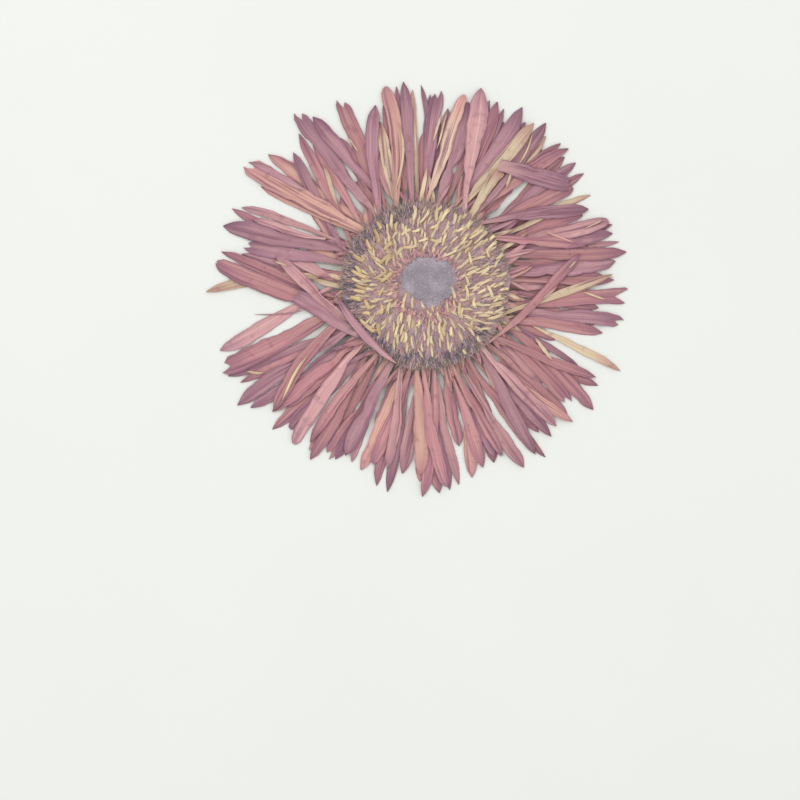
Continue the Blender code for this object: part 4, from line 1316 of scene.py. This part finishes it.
def surface(tree, colour, roughness, height, distance, strength=0.6, sheen=0.0):
    """Joins colour, roughness and height to a Principled shader in a material's tree."""
    bump = add_node(
        tree, "ShaderNodeBump", {"Height": height, "Distance": distance, "Strength": strength}
    )
    shader = add_node(
        tree,
        "ShaderNodeBsdfPrincipled",
        {
            "Base Color": colour,
            "Roughness": roughness,
            "Normal": bump.outputs[0],
            "IOR": 1.4,
            "Specular IOR Level": 0.35,
            "Sheen Weight": sheen,
        },
    )
    add_node(tree, "ShaderNodeOutputMaterial", {"Surface": shader.outputs[0]})


def new_material(name):
    """An empty material and its node tree."""
    material = bpy.data.materials.new(name)
    material.use_nodes = True
    material.node_tree.nodes.clear()
    return material, material.node_tree


def tissue_material(name, four_tones, bruise, underside=None, veins=6.0, contrast=1.0, depth=0.06):
    """Dried tissue in four tones, with a paler underside where the mesh marks one."""
    material, tree = new_material(name)
    inputs = {
        "Map": add_node(tree, "ShaderNodeUVMap", uv_map="petal_map").outputs[0],
        "Place": add_node(tree, "ShaderNodeTexCoord").outputs["Object"],
        "Seed": add_node(tree, "ShaderNodeAttribute", attribute_name="petal_seed").outputs["Fac"],
        "Bruise": rgba(bruise),
        "Veins": veins,
        "Contrast": contrast,
    }
    for label, colour in zip(("Root", "Middle", "Tip", "Edge"), four_tones):
        inputs[label] = rgba(colour)
    tissue = add_node(tree, "ShaderNodeGroup", inputs, node_tree=dried_tissue()).outputs
    colour = tissue["Color"]
    if underside is not None:
        under = add_node(tree, "ShaderNodeAttribute", attribute_name="petal_underside")
        share = masked(tree, under.outputs["Fac"], "underside")
        colour = blended(tree, share, colour, rgba(underside))
    surface(tree, colour, tissue["Roughness"], tissue["Height"], depth * MM)
    return material


def hair_material(name, three_tones, contrast):
    """Dried tissue for hairs, whose edges and bruises have the tone of their root."""
    root, middle, tip = three_tones
    four_tones = (root, middle, tip, root)
    return tissue_material(
        name, four_tones, root, veins=HAIR_VEINS, contrast=contrast, depth=HAIR_RELIEF
    )


def ground_material(name, colours, scale, depth):
    """A dull uneven ground in three colours, for the bed of the disc and the back of the head."""
    material, tree = new_material(name)
    place = add_node(tree, "ShaderNodeTexCoord").outputs["Object"]
    large = noise_at(tree, place, scale)
    times, detail = FINE_GRAIN
    small = noise_at(tree, place, scale * times, detail)
    first, second, third = (rgba(colour) for colour in colours)
    colour = blended(tree, masked(tree, large, "ground patch"), first, second)
    colour = blended(tree, masked(tree, small, "ground speck"), colour, third)
    height = sum_of(tree, "ADD", large, small)
    surface(tree, colour, masked(tree, small, "ground roughness"), height, depth * MM)
    return material


def felt_material(name, colours):
    """Grey felt of tangled hairs, with painted shade in its hollows and lighter patches."""
    material, tree = new_material(name)
    place = add_node(tree, "ShaderNodeTexCoord").outputs["Object"]
    stretched = add_node(tree, "ShaderNodeMapping", {"Vector": place, "Scale": FELT_STRETCH})
    hairs = noise_at(tree, stretched.outputs[0], *FELT_HAIR_NOISE)
    patches = noise_at(tree, place, *FELT_PATCH_NOISE)
    first, second, third = (rgba(colour) for colour in colours)
    # The first colour goes where the patches are low: painted shade in the felt's hollows.
    colour = blended(tree, masked(tree, patches, "felt hollow shade"), first, second)
    colour = blended(tree, masked(tree, hairs, "felt hair"), colour, third)
    height = sum_of(tree, "MULTIPLY_ADD", patches, FELT_PATCH_HEIGHT, hairs)
    roughness, depth, strength = FELT_SURFACE
    surface(tree, colour, roughness, height, depth * MM, strength, sheen=FELT_SHEEN)
    return material


def finish_piece(item, nodes):
    """Tell the frame what a finished piece stands for."""
    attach(item, BODY)
    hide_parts(*nodes)


class PetalSettings(bpy.types.PropertyGroup):
    """Sizes and looks of the petals."""

    thickness: bpy.props.FloatProperty(
        name="Thickness", description="Thickness of a petal along its middle",
        default=0.14 * MM, min=0.05 * MM, max=0.5 * MM, unit="LENGTH", precision=5,
    )
    relief: bpy.props.FloatProperty(
        name="Relief", description="How strongly the petals are pleated and curled",
        default=1.0, min=0.0, max=2.0,
    )
    lower_height: bpy.props.FloatProperty(
        name="Lower Root Height", description="Height at which the lower petals leave the head",
        default=LOWER_ROOT_HEIGHT * MM, min=0.0, max=5.0 * MM, unit="LENGTH", precision=5,
    )
    upper_height: bpy.props.FloatProperty(
        name="Upper Root Height", description="Height at which the upper petals leave the head",
        default=UPPER_ROOT_HEIGHT * MM, min=0.0, max=5.0 * MM, unit="LENGTH", precision=5,
    )
    sliver_count: bpy.props.IntProperty(
        name="Short Petals", description="Short petals that show between the roots of the long ones",
        default=96, min=0, max=300,
    )
    bruise: bpy.props.FloatVectorProperty(
        name="Bruise Colour", description="Colour of the bruised patches of the petals",
        default=BRUISE_COLOUR, size=3, subtype="COLOR", min=0.0, max=1.0,
    )
    underside: bpy.props.FloatVectorProperty(
        name="Underside Colour", description="Colour that the underside of the petals leans to",
        default=UNDERSIDE_COLOUR, size=3, subtype="COLOR", min=0.0, max=1.0,
    )


class DiscSettings(bpy.types.PropertyGroup):
    """Sizes and colours of the disc."""

    floret_width: bpy.props.FloatProperty(
        name="Floret Width", description="Width of an open floret",
        default=0.66 * MM, min=0.2 * MM, max=2.0 * MM, unit="LENGTH", precision=5,
    )
    hair_count: bpy.props.IntProperty(
        name="Hairs", description="Number of fine hairs among the florets",
        default=2500, min=0, max=6000,
    )
    hair_width: bpy.props.FloatProperty(
        name="Hair Width", description="Width of a fine hair",
        default=0.2 * MM, min=0.05 * MM, max=1.0 * MM, unit="LENGTH", precision=5,
    )
    dull_count: bpy.props.IntProperty(
        name="Lower Florets", description="Open florets that lie under the bright ones",
        default=230, min=0, max=600,
    )
    dark_count: bpy.props.IntProperty(
        name="Closed Florets", description="Dark florets between the open ones",
        default=480, min=0, max=1200,
    )
    bristle_count: bpy.props.IntProperty(
        name="Bristles", description="Fine bristles round the rim of the disc",
        default=900, min=0, max=3000,
    )
    pollen: bpy.props.FloatVectorProperty(
        name="Floret Colour", description="Colour of the open florets",
        default=linear(230, 212, 174), size=3, subtype="COLOR", min=0.0, max=1.0,
    )
    felt: bpy.props.FloatVectorProperty(
        name="Felt Colour", description="Colour of the felt in the middle of the disc",
        default=linear(180, 171, 180), size=3, subtype="COLOR", min=0.0, max=1.0,
    )


class BackSettings(bpy.types.PropertyGroup):
    """Sizes and colours of the back of the head."""

    scar_radius: bpy.props.FloatProperty(
        name="Scar Radius", description="Radius of the flat scar that the stem left",
        default=3.6 * MM, min=1.0 * MM, max=8.0 * MM, unit="LENGTH", precision=5,
    )
    bract: bpy.props.FloatVectorProperty(
        name="Bract Colour", description="Colour of the dried leaves round the back of the head",
        default=linear(132, 118, 82), size=3, subtype="COLOR", min=0.0, max=1.0,
    )


class StageSettings(bpy.types.PropertyGroup):
    """The floor, the lights and the camera."""

    floor: bpy.props.FloatVectorProperty(
        name="Floor Colour", description="Colour of the floor under the flower",
        default=linear(239, 241, 237), size=3, subtype="COLOR", min=0.0, max=1.0,
    )
    aim: bpy.props.FloatVectorProperty(
        name="Aim", description="Point of the floor in the middle of the picture",
        default=(-5.5 * MM, -25.08 * MM, 0.0), size=3, subtype="TRANSLATION", unit="LENGTH",
    )
    field: bpy.props.FloatProperty(
        name="Field", description="Width of floor that the camera takes in",
        default=176.0 * MM, min=50.0 * MM, max=1.0, unit="LENGTH",
    )
    focal_length: bpy.props.FloatProperty(
        name="Focal Length", description="Focal length of the camera in millimetres",
        default=90.0, min=20.0, max=300.0,
    )
    lamp_power: bpy.props.FloatProperty(
        name="Lamp Power", description="Power of the main lamp in watts",
        default=1.25, min=0.0, max=50.0,
    )
    sky: bpy.props.FloatProperty(
        name="Sky", description="Strength of the light from all round",
        default=0.76, min=0.0, max=3.0,
    )


class PRESSED_DAISY_OT_petals(bpy.types.Operator):
    """Lay the lower and the upper petals on each other round the head"""

    bl_idname = "pressed_daisy.petals"
    bl_label = "Petals"
    bl_options = {"REGISTER", "UNDO"}

    def execute(self, context):
        settings = context.scene.pressed_daisy_petals
        materials = [
            tissue_material(f"dried_petal_{tone}", colours, settings.bruise, settings.underside)
            for tone, colours in PETAL_TONES.items()
        ]
        stack = Stack()
        lower = PetalMesh(stack, settings)
        for index, petal in enumerate(rows_of(LOWER_PETALS, plain_rows(), LOWER_HIDDEN)):
            lower.add(petal, index, settings.lower_height / MM)
        finish_piece(lower.finish("lower_petals", materials), ["outer_rays"])
        upper = PetalMesh(stack, settings)
        height = settings.upper_height / MM
        for index, petal in enumerate(rows_of(rim_slivers(settings.sliver_count, SEED + 2))):
            upper.add(petal, INDEX_BLOCK + index, height - SLIVER_DROP, SHORT_GRID)
        for index, petal in enumerate(rows_of(UPPER_PETALS, UPPER_HIDDEN)):
            upper.add(petal, 2 * INDEX_BLOCK + index, height)
        stack.lay_disc(DISC_RADIUS, BED_TOP + FLORET_PILE)
        for index, petal in enumerate(rows_of(TURNED_EDGES, RIM_PETALS)):
            upper.add(petal, 3 * INDEX_BLOCK + index, 0.0, EDGE_GRID)
        finish_piece(upper.finish("upper_petals", materials), ["inner_rays"])
        return {"FINISHED"}


def ring_at(radius, angles, height):
    """Points round a ring whose radius or height may change along it."""
    return np.stack(
        [radius * np.cos(angles), radius * np.sin(angles), height + 0.0 * angles], -1
    )


def bed_rings():
    """Rings of the disc's bed: a thin plate with an uneven rim and a slightly domed top."""
    angles = 2.0 * math.pi * np.arange(BED_SIDES) / BED_SIDES
    uneven = sum(size * np.sin(waves * angles + shift) for size, waves, shift in BED_WAVES)
    rings = [
        ring_at(radius + uneven * (radius / DISC_RADIUS) ** 6, angles, height)
        for radius, height in BED_PROFILE
    ]
    return np.array(rings) * MM


def bent_shapes(name, steps, sides, bends, height=1.0, groove=0.0):
    """Tapered tubes along +X, one unit long and wide, one for each bend."""
    return [
        loft(f"{name}_{index}", tube_rings(steps, sides, 1.0, height, bend, groove))
        for index, bend in enumerate(bends)
    ]


def closed_shapes():
    """Pointed florets, straight and bent."""
    return bent_shapes("floret", CLOSED_STEPS, 7, FLORET_BENDS, 0.8, 0.4)


def open_shapes():
    """Florets whose ends split into two lips that curl apart, straight and bent."""
    shapes = []
    for index, bend in enumerate(FLORET_BENDS):
        bodies = [tube_rings(OPEN_STEPS, 7, 1.0, 0.8, bend, 0.4)]
        for side, reach in LIPS:
            rings = tube_rings(LIP_STEPS, 5, 1.0, 0.6)
            along = rings[..., 0].copy()
            rings[..., 1] += side * (LIP_OFFSET + LIP_CURL * along ** 2)
            rings[..., 2] += LIP_CURL * np.sin(math.pi * along)
            rings[..., 0] = LIP_START + reach * along
            bodies.append(rings)
        name = f"open_floret_{index}"
        shapes.append(joined(name, [loft(name, rings) for rings in bodies]))
    return shapes


def joined(name, meshes):
    """One mesh out of several, each kept as its own closed body."""
    shape = bmesh.new()
    for mesh in meshes:
        shape.from_mesh(mesh)
        bpy.data.meshes.remove(mesh)
    made = bpy.data.meshes.new(name)
    shape.to_mesh(made)
    shape.free()
    return made


def tip_radius(row):
    """How far out the tip of a floret lies, in mm."""
    return math.hypot(row[2], row[3])


def in_dark_arc(row):
    """Whether a floret lies in the arc where the rim of the disc is dark."""
    bearing = math.degrees(math.atan2(row[1], row[0])) % 360.0
    return DARK_ARC[0] < bearing < DARK_ARC[1]


def place_florets(rows, width, stack, seed, piled=True):
    """A mesh of loose points, each with the turn and size of the floret that it carries."""
    draw = random.Random(seed)
    points, turns, sizes = [], [], []
    for x0, y0, x1, y1 in rows:
        length = math.hypot(x1 - x0, y1 - y0)
        share = np.linspace(0.0, 1.0, FEELERS)
        x, y = x0 + (x1 - x0) * share, y0 + (y1 - y0) * share
        rest = stack.under(x, y)
        half = FEELERS // 2
        low, high = max(rest[:half].mean(), BED_TOP), max(rest[-half:].mean(), BED_TOP)
        slope = max(-STEEPEST, min(STEEPEST, (high - low) / length))
        wide = width * draw.uniform(*WIDTH_SHARES)
        points.append((x0, y0, low - ROOT_SINK))
        turns.append((0.0, -math.atan(slope), math.atan2(y1 - y0, x1 - x0)))
        sizes.append((length, wide, wide * draw.uniform(*HEIGHT_SHARES)))
        if piled:
            aside = np.array(PILE_SIDES)[:, None] * wide
            across = np.array([-(y1 - y0), x1 - x0]) / length
            gx, gy = x + across[0] * aside, y + across[1] * aside
            top = low + slope * length * share + PILE_HEIGHT * wide
            stack.lay(gx.ravel(), gy.ravel(), np.tile(top, len(PILE_SIDES)))
    mesh = bpy.data.meshes.new("floret_places")
    mesh.from_pydata(np.array(points) * MM, [], [])
    for name, values in (("turn", turns), ("size", np.array(sizes) * MM)):
        attribute = mesh.attributes.new(name, "FLOAT_VECTOR", "POINT")
        attribute.data.foreach_set("vector", np.array(values).reshape(-1))
    return mesh


def combed_rows(count, nearest, furthest, lengths, stray, seed):
    """Florets strewn evenly over the disc and combed the way the real ones lie."""
    draw = random.Random(seed)
    bearings, ways = np.array(COMBING, float).T
    rows = []
    for index in range(count):
        share = (index + draw.random()) / count
        radius = math.sqrt(nearest ** 2 + share * (furthest ** 2 - nearest ** 2))
        bearing = index * GOLDEN_ANGLE + draw.uniform(-STREWN_SWAY, STREWN_SWAY)
        bearing = (bearing - bearings[0]) % 360.0 + bearings[0]
        way = float(np.interp(bearing, bearings, ways)) + draw.gauss(0.0, stray)
        half = draw.uniform(*lengths) / 2.0
        x, y = radius * direction(bearing)
        dx, dy = half * direction(way)
        rows.append((x - dx, y - dy, x + dx, y + dy))
    return rows


def floret_bed():
    """The plate that the florets stand on."""
    mesh = loft("floret_bed", bed_rings())
    mesh.materials.append(ground_material("disc_ground", GROUND_COLOURS, *DISC_GRAIN))
    return in_scene("floret_bed", mesh)


def floret_material(name, four_tones, bruise, contrast=1.0):
    """Dried tissue for florets and buds."""
    return tissue_material(
        name, four_tones, bruise, veins=FLORET_VEINS, contrast=contrast, depth=FLORET_RELIEF
    )


def closed_florets(settings, stack, placing):
    """Closed florets between the open ones, rosy and grey."""
    row_seed, size_seed = CLOSED_SEEDS
    made = []
    for index, (four_tones, share) in enumerate(zip(CLOSED_TONES, CLOSED_SHARES)):
        count = int(settings.dark_count * share)
        rows = combed_rows(count, *CLOSED_STREWN, row_seed + index)
        width = settings.floret_width / MM * CLOSED_GIRTH
        places = place_florets(rows, width, stack, size_seed + index)
        material = floret_material(f"closed_floret_{index}", four_tones, CLOSED_BRUISE)
        made.append(grown(f"closed_florets_{index}", placing, places, closed_shapes(), material))
    return made


def fine_hairs(settings, stack, placing):
    """Fine hairs strewn among the florets in three colours, the last kind along the dark rim."""
    row_seed, size_seed = HAIR_SEEDS
    made = []
    for index, (name, share, nearest, furthest, three_tones) in enumerate(HAIR_KINDS):
        count = int(settings.hair_count * share)
        seed = row_seed + index
        rows = combed_rows(count, nearest, furthest, HAIR_LENGTHS, HAIR_STRAY, seed)
        if name == "grey_hair":
            rows = [row for row in rows if in_dark_arc(row)]
        width = settings.hair_width / MM
        places = place_florets(rows, width, stack, size_seed + index, piled=False)
        shapes = bent_shapes("hair", HAIR_STEPS, 4, HAIR_BENDS)
        material = hair_material(name, three_tones, HAIR_CONTRAST)
        made.append(grown(name + "s", placing, places, shapes, material))
    return made


def lower_florets(settings, stack, placing):
    """Duller open florets under the bright ones, short of the rim where it is dark."""
    row_seed, size_seed = LOWER_SEEDS
    root, edge = LOWER_ENDS
    four_tones = (root, tuple(DULLER * c for c in settings.pollen), settings.pollen, edge)
    rows = combed_rows(settings.dull_count, *LOWER_STREWN, row_seed)
    rows = [row for row in rows if not in_dark_arc(row) or tip_radius(row) < CLEAR_OF_RIM]
    places = place_florets(rows, settings.floret_width / MM * LOWER_GIRTH, stack, size_seed)
    material = floret_material("dull_floret", four_tones, LOWER_BRUISE, LOWER_CONTRAST)
    return [grown("lower_florets", placing, places, closed_shapes(), material)]


def top_florets(settings, stack, placing):
    """The open florets on top, those at the left in the shaded tones."""
    root, edge = TOP_ENDS
    bright = tuple(min(1.0, BRIGHTER * c) for c in settings.pollen)
    left = [row for row in TOP_FLORETS if row[0] < SHADED_SIDE]
    right = [row for row in TOP_FLORETS if row[0] >= SHADED_SIDE]
    kinds = (
        ("shaded_floret", left, SHADED_GIRTH, SHADED_TONES),
        ("open_floret", right, BRIGHT_GIRTH, (root, settings.pollen, bright, edge)),
    )
    made = []
    for (name, rows, girth, four_tones), seed in zip(kinds, TOP_SEEDS):
        places = place_florets(rows, settings.floret_width / MM * girth, stack, seed)
        material = floret_material(name, four_tones, TOP_BRUISE, TOP_CONTRAST)
        made.append(grown(name + "s", placing, places, open_shapes(), material))
    return made


def rim_bristles(settings):
    """Fine bristles in two colours round the rim of the disc."""
    tree = ring_tree()
    made = []
    for index, (name, share, three_tones) in enumerate(BRISTLE_KINDS):
        material = hair_material(name, three_tones, BRISTLE_CONTRAST)
        shapes = bent_shapes("bristle", BRISTLE_STEPS, 4, BRISTLE_BENDS)
        places = bpy.data.meshes.new(name + "_places")
        made.append(
            grown(
                name + "s", tree, places, shapes, material,
                Count=int(settings.bristle_count * share), Radius=16.6 * MM, Spread=1.5 * MM,
                Height=BED_TOP * MM, Height_Spread=0.14 * MM, Jitter=1.2, Rise=0.1,
                Rise_Spread=0.18, Sway=0.5, Smallest=(1.2 * MM, 0.1 * MM, 0.1 * MM),
                Largest=(2.6 * MM, 0.2 * MM, 0.2 * MM), Seed=BRISTLE_SEED + index,
            )
        )
    return made


class PRESSED_DAISY_OT_disc(bpy.types.Operator):
    """Make the bed of the disc, its florets and the bristles round its rim"""

    bl_idname = "pressed_daisy.disc"
    bl_label = "Disc Florets"
    bl_options = {"REGISTER", "UNDO"}

    def execute(self, context):
        settings = context.scene.pressed_daisy_disc
        stack, placing = Stack(), listed_tree()
        items = [
            floret_bed(),
            *closed_florets(settings, stack, placing),
            *fine_hairs(settings, stack, placing),
            *lower_florets(settings, stack, placing),
            *top_florets(settings, stack, placing),
            *rim_bristles(settings),
        ]
        for item in items:
            finish_piece(item, ["disc_florets"])
        return {"FINISHED"}


def felt_rings():
    """Rings of the felt patch in the middle of the disc, a low uneven dome."""
    degrees = 360.0 * np.arange(FELT_SIDES) / FELT_SIDES
    outline = np.interp(degrees, *np.array(FELT_OUTLINE, float).T)
    angles = np.radians(degrees)
    for size, waves, shift in FELT_RIPPLES:
        outline = outline + size * np.sin(waves * angles + shift)
    swell, swells, turn = FELT_SWELL
    rings = []
    for share, height in FELT_PROFILE:
        wave = swell * np.sin(swells * angles + turn * share) * share
        x = FELT_CENTRE[0] + outline * share * np.cos(angles)
        y = FELT_CENTRE[1] + outline * share * np.sin(angles)
        rings.append(np.stack([x, y, height + wave * (height > BED_TOP)], -1))
    return np.array(rings) * MM


class PRESSED_DAISY_OT_centre(bpy.types.Operator):
    """Make the felted middle of the disc, with its hairs and the dark buds round it"""

    bl_idname = "pressed_daisy.centre"
    bl_label = "Felted Centre"
    bl_options = {"REGISTER", "UNDO"}

    def execute(self, context):
        felt = context.scene.pressed_daisy_disc.felt
        # The darkest of these is painted shade for the felt's hollows.
        dark, pale, palest = (tuple(min(1.0, times * c) for c in felt) for times in FELT_SHADE_AND_HAIR_TONES)
        mesh = loft("felted_centre", felt_rings())
        mesh.materials.append(felt_material("felt", (dark, felt, pale)))
        centre = in_scene("felted_centre", mesh)

        hairs = bent_shapes("hair", FELT_HAIR_STEPS, 3, FELT_HAIR_BENDS)
        fibre = felt_material("felt_hair", (felt, pale, palest))
        cover = grown(
            "felt_hairs", cover_tree(), mesh.copy(), hairs, fibre, Density=1.6e7, Lean=0.7,
            Smallest=(0.5 * MM, 0.05 * MM, 0.05 * MM), Largest=(1.3 * MM, 0.09 * MM, 0.09 * MM),
            Seed=FELT_SEED,
        )

        bud = floret_material("ring_bud", BUD_TONES, BUD_BRUISE)
        shapes = bent_shapes("bud", BUD_STEPS, 6, BUD_BENDS)
        buds = grown(
            "ring_buds", ring_tree(), bpy.data.meshes.new("bud_places"), shapes, bud,
            Count=130, Radius=6.5 * MM, Spread=0.9 * MM, Height=3.95 * MM, Height_Spread=0.08 * MM,
            Jitter=1.0, Rise=0.12, Rise_Spread=0.15, Sway=0.9,
            Smallest=(0.9 * MM, 0.4 * MM, 0.35 * MM), Largest=(1.8 * MM, 0.7 * MM, 0.55 * MM),
            Seed=BUD_SEED,
        )
        for item in (centre, cover, buds):
            finish_piece(item, ["disc_centre"])
        return {"FINISHED"}


def receptacle_rings(scar_radius):
    """Rings of the hub that everything grows from, with the scar of the stem below."""
    angles = 2.0 * math.pi * np.arange(HUB_SIDES) / HUB_SIDES
    (rib, ribs), (swell, swells) = HUB_RIBS
    depth = rib * np.abs(np.sin(ribs * angles)) + swell * np.sin(swells * angles)
    lip, lip_height, lip_ribs = SCAR_LIP
    profile = (
        *((scar_radius * share, height, ribbed) for share, height, ribbed in SCAR_PROFILE),
        (scar_radius + lip, lip_height, lip_ribs),
        *HUB_PROFILE,
    )
    rings = [ring_at(radius - ribbed * depth, angles, height) for radius, height, ribbed in profile]
    return np.array(rings) * MM


def bract_shapes():
    """Narrow dried leaves along +X, one unit long, with a keel and a rolled edge."""
    angles = np.radians(-90.0 + 360.0 * np.arange(BRACT_SIDES) / BRACT_SIDES)
    shapes = []
    for index, bend in enumerate(BRACT_BENDS):
        rings = []
        for share, size in BRACT_STEPS:
            half = 0.5 * size
            y = half * np.cos(angles) + bend * 4.0 * share * (1.0 - share)
            keel = 0.5 * (half - np.abs(half * np.cos(angles)))
            z = BRACT_THICKNESS * np.sin(angles) - keel - 0.5 * share * (1.0 - share)
            rings.append(np.stack([np.full(BRACT_SIDES, share), y, z], -1))
        shapes.append(loft(f"bract_{index}", np.array(rings)))
    return shapes


class PRESSED_DAISY_OT_back(bpy.types.Operator):
    """Make the hub at the back of the head and the rows of dried bracts round it"""

    bl_idname = "pressed_daisy.back"
    bl_label = "Back of the Head"
    bl_options = {"REGISTER", "UNDO"}

    def execute(self, context):
        settings = context.scene.pressed_daisy_back
        bract = settings.bract
        darker, lighter = (tuple(min(1.0, times * c) for c in bract) for times in BRACT_SHADES)
        mesh = loft("receptacle", receptacle_rings(settings.scar_radius / MM))
        mesh.materials.append(ground_material("hub", (darker, bract, lighter), *HUB_GRAIN))
        items = [in_scene("receptacle", mesh)]

        four_tones = (lighter, bract, darker, BRACT_EDGE)
        leaf = tissue_material("bract", four_tones, BRACT_BRUISE, veins=5.0, depth=0.08)
        tree = ring_tree()
        for index, (count, radius, height, length, width) in enumerate(BRACT_ROWS):
            places = bpy.data.meshes.new(f"bract_places_{index}")
            items.append(
                grown(
                    f"bracts_{index}", tree, places, bract_shapes(), leaf,
                    Count=count, Radius=radius * MM, Spread=0.3 * MM,
                    Height=height * MM, Height_Spread=0.06 * MM, Jitter=0.25, Rise=0.03,
                    Rise_Spread=0.02, Sway=0.12,
                    Smallest=(length * 0.9 * MM, width * 0.8 * MM, 0.7 * MM),
                    Largest=(length * MM, width * MM, 0.9 * MM), Seed=BRACT_SEED + index,
                )
            )
        for item in items:
            finish_piece(item, ["involucre"])
        return {"FINISHED"}


# Half the side of the floor, the width of the camera's sensor in mm and the nearest that it
# sees, in metres.
HALF_FLOOR = 2.0
SENSOR_WIDTH = 36.0
NEAREST_SEEN = 0.005

# The two lamps: place and side in metres, share of the main power, and colour.
LAMPS = (
    ("key", (-0.2, 0.22, 0.6), 0.4, 1.0, (1.0, 0.985, 0.96)),
    ("fill", (0.5, -0.3, 0.6), 0.6, 0.45, (0.96, 0.98, 1.0)),
)


def floor_material(name, colour):
    """A matt pale board with a very faint tooth."""
    material, tree = new_material(name)
    place = add_node(tree, "ShaderNodeTexCoord").outputs["Object"]
    tooth = noise_at(tree, place, *FLOOR_TOOTH)
    mottle = masked(tree, noise_at(tree, place, FLOOR_MOTTLE), "floor mottle")
    darker = rgba([FLOOR_DARKER * c for c in colour])
    tone = blended(tree, mottle, darker, rgba(colour))
    roughness, depth, strength = FLOOR_SURFACE
    surface(tree, tone, roughness, tooth, depth * MM, strength)
    return material


def area_lamp(name, place, size, power, colour):
    """A soft square lamp that looks at the middle of the flower."""
    light = bpy.data.lights.new(name, "AREA")
    light.shape = "SQUARE"
    light.size = size
    light.energy = power
    light.color = colour
    lamp = in_scene(name, light)
    lamp.location = place
    lamp.rotation_euler = (-Vector(place)).to_track_quat("-Z", "Y").to_euler()


class PRESSED_DAISY_OT_stage(bpy.types.Operator):
    """Make the floor, the soft light and the camera that looks straight down"""

    bl_idname = "pressed_daisy.stage"
    bl_label = "Stage"
    bl_options = {"REGISTER", "UNDO"}

    def execute(self, context):
        settings = context.scene.pressed_daisy_stage
        signs = ((-1.0, -1.0), (1.0, -1.0), (1.0, 1.0), (-1.0, 1.0))
        corners = [(HALF_FLOOR * x, HALF_FLOOR * y, 0.0) for x, y in signs]
        mesh = bpy.data.meshes.new("floor")
        mesh.from_pydata(corners, [], [(0, 1, 2, 3)])
        mesh.materials.append(floor_material("floor", settings.floor))
        floor = in_scene("floor", mesh)

        camera = bpy.data.cameras.new("camera")
        camera.lens = settings.focal_length
        camera.sensor_width = SENSOR_WIDTH
        camera.clip_start = NEAREST_SEEN
        distance = settings.field * camera.lens / camera.sensor_width
        holder = in_scene("camera", camera)
        holder.location = Vector(settings.aim) + Vector((0.0, 0.0, distance))
        context.scene.camera = holder

        for name, place, size, share, colour in LAMPS:
            area_lamp(name, place, size, settings.lamp_power * share, colour)
        world = bpy.data.worlds.new("studio")
        world.use_nodes = True
        sky = world.node_tree.nodes["Background"]
        sky.inputs["Color"].default_value = (1.0, 1.0, 1.0, 1.0)
        sky.inputs["Strength"].default_value = settings.sky
        context.scene.world = world
        context.scene.view_settings.view_transform = "Standard"
        return {"FINISHED"}


class PRESSED_DAISY_PT_panel(bpy.types.Panel):
    """The pieces of the flower, in the order in which they are made"""

    bl_label = "Pressed Daisy"
    bl_space_type = "VIEW_3D"
    bl_region_type = "UI"
    bl_category = "Pressed Daisy"

    def draw(self, context):
        for operator, group in PANEL_ROWS:
            box = self.layout.box()
            box.operator(operator)
            settings = getattr(context.scene, group)
            for name in settings.bl_rna.properties.keys():
                if name not in ("rna_type", "name"):
                    box.prop(settings, name)


PANEL_ROWS = (
    ("pressed_daisy.petals", "pressed_daisy_petals"),
    ("pressed_daisy.disc", "pressed_daisy_disc"),
    ("pressed_daisy.centre", "pressed_daisy_disc"),
    ("pressed_daisy.back", "pressed_daisy_back"),
    ("pressed_daisy.stage", "pressed_daisy_stage"),
)
SETTINGS = {
    "pressed_daisy_petals": PetalSettings,
    "pressed_daisy_disc": DiscSettings,
    "pressed_daisy_back": BackSettings,
    "pressed_daisy_stage": StageSettings,
}
CLASSES = (
    PetalSettings,
    DiscSettings,
    BackSettings,
    StageSettings,
    PRESSED_DAISY_OT_petals,
    PRESSED_DAISY_OT_disc,
    PRESSED_DAISY_OT_centre,
    PRESSED_DAISY_OT_back,
    PRESSED_DAISY_OT_stage,
    PRESSED_DAISY_PT_panel,
)


def register():
    """Make the operators, the panel and the settings known to Blender."""
    for kind in CLASSES:
        bpy.utils.register_class(kind)
    for name, kind in SETTINGS.items():
        setattr(bpy.types.Scene, name, bpy.props.PointerProperty(type=kind))


def unregister():
    """Take the operators, the panel and the settings away again."""
    for name in SETTINGS:
        delattr(bpy.types.Scene, name)
    for kind in reversed(CLASSES):
        bpy.utils.unregister_class(kind)


def main():
    """Make every piece in order."""
    register()
    bpy.ops.pressed_daisy.petals()
    bpy.ops.pressed_daisy.disc()
    bpy.ops.pressed_daisy.centre()
    bpy.ops.pressed_daisy.back()
    bpy.ops.pressed_daisy.stage()


if __name__ == "__main__":
    main()
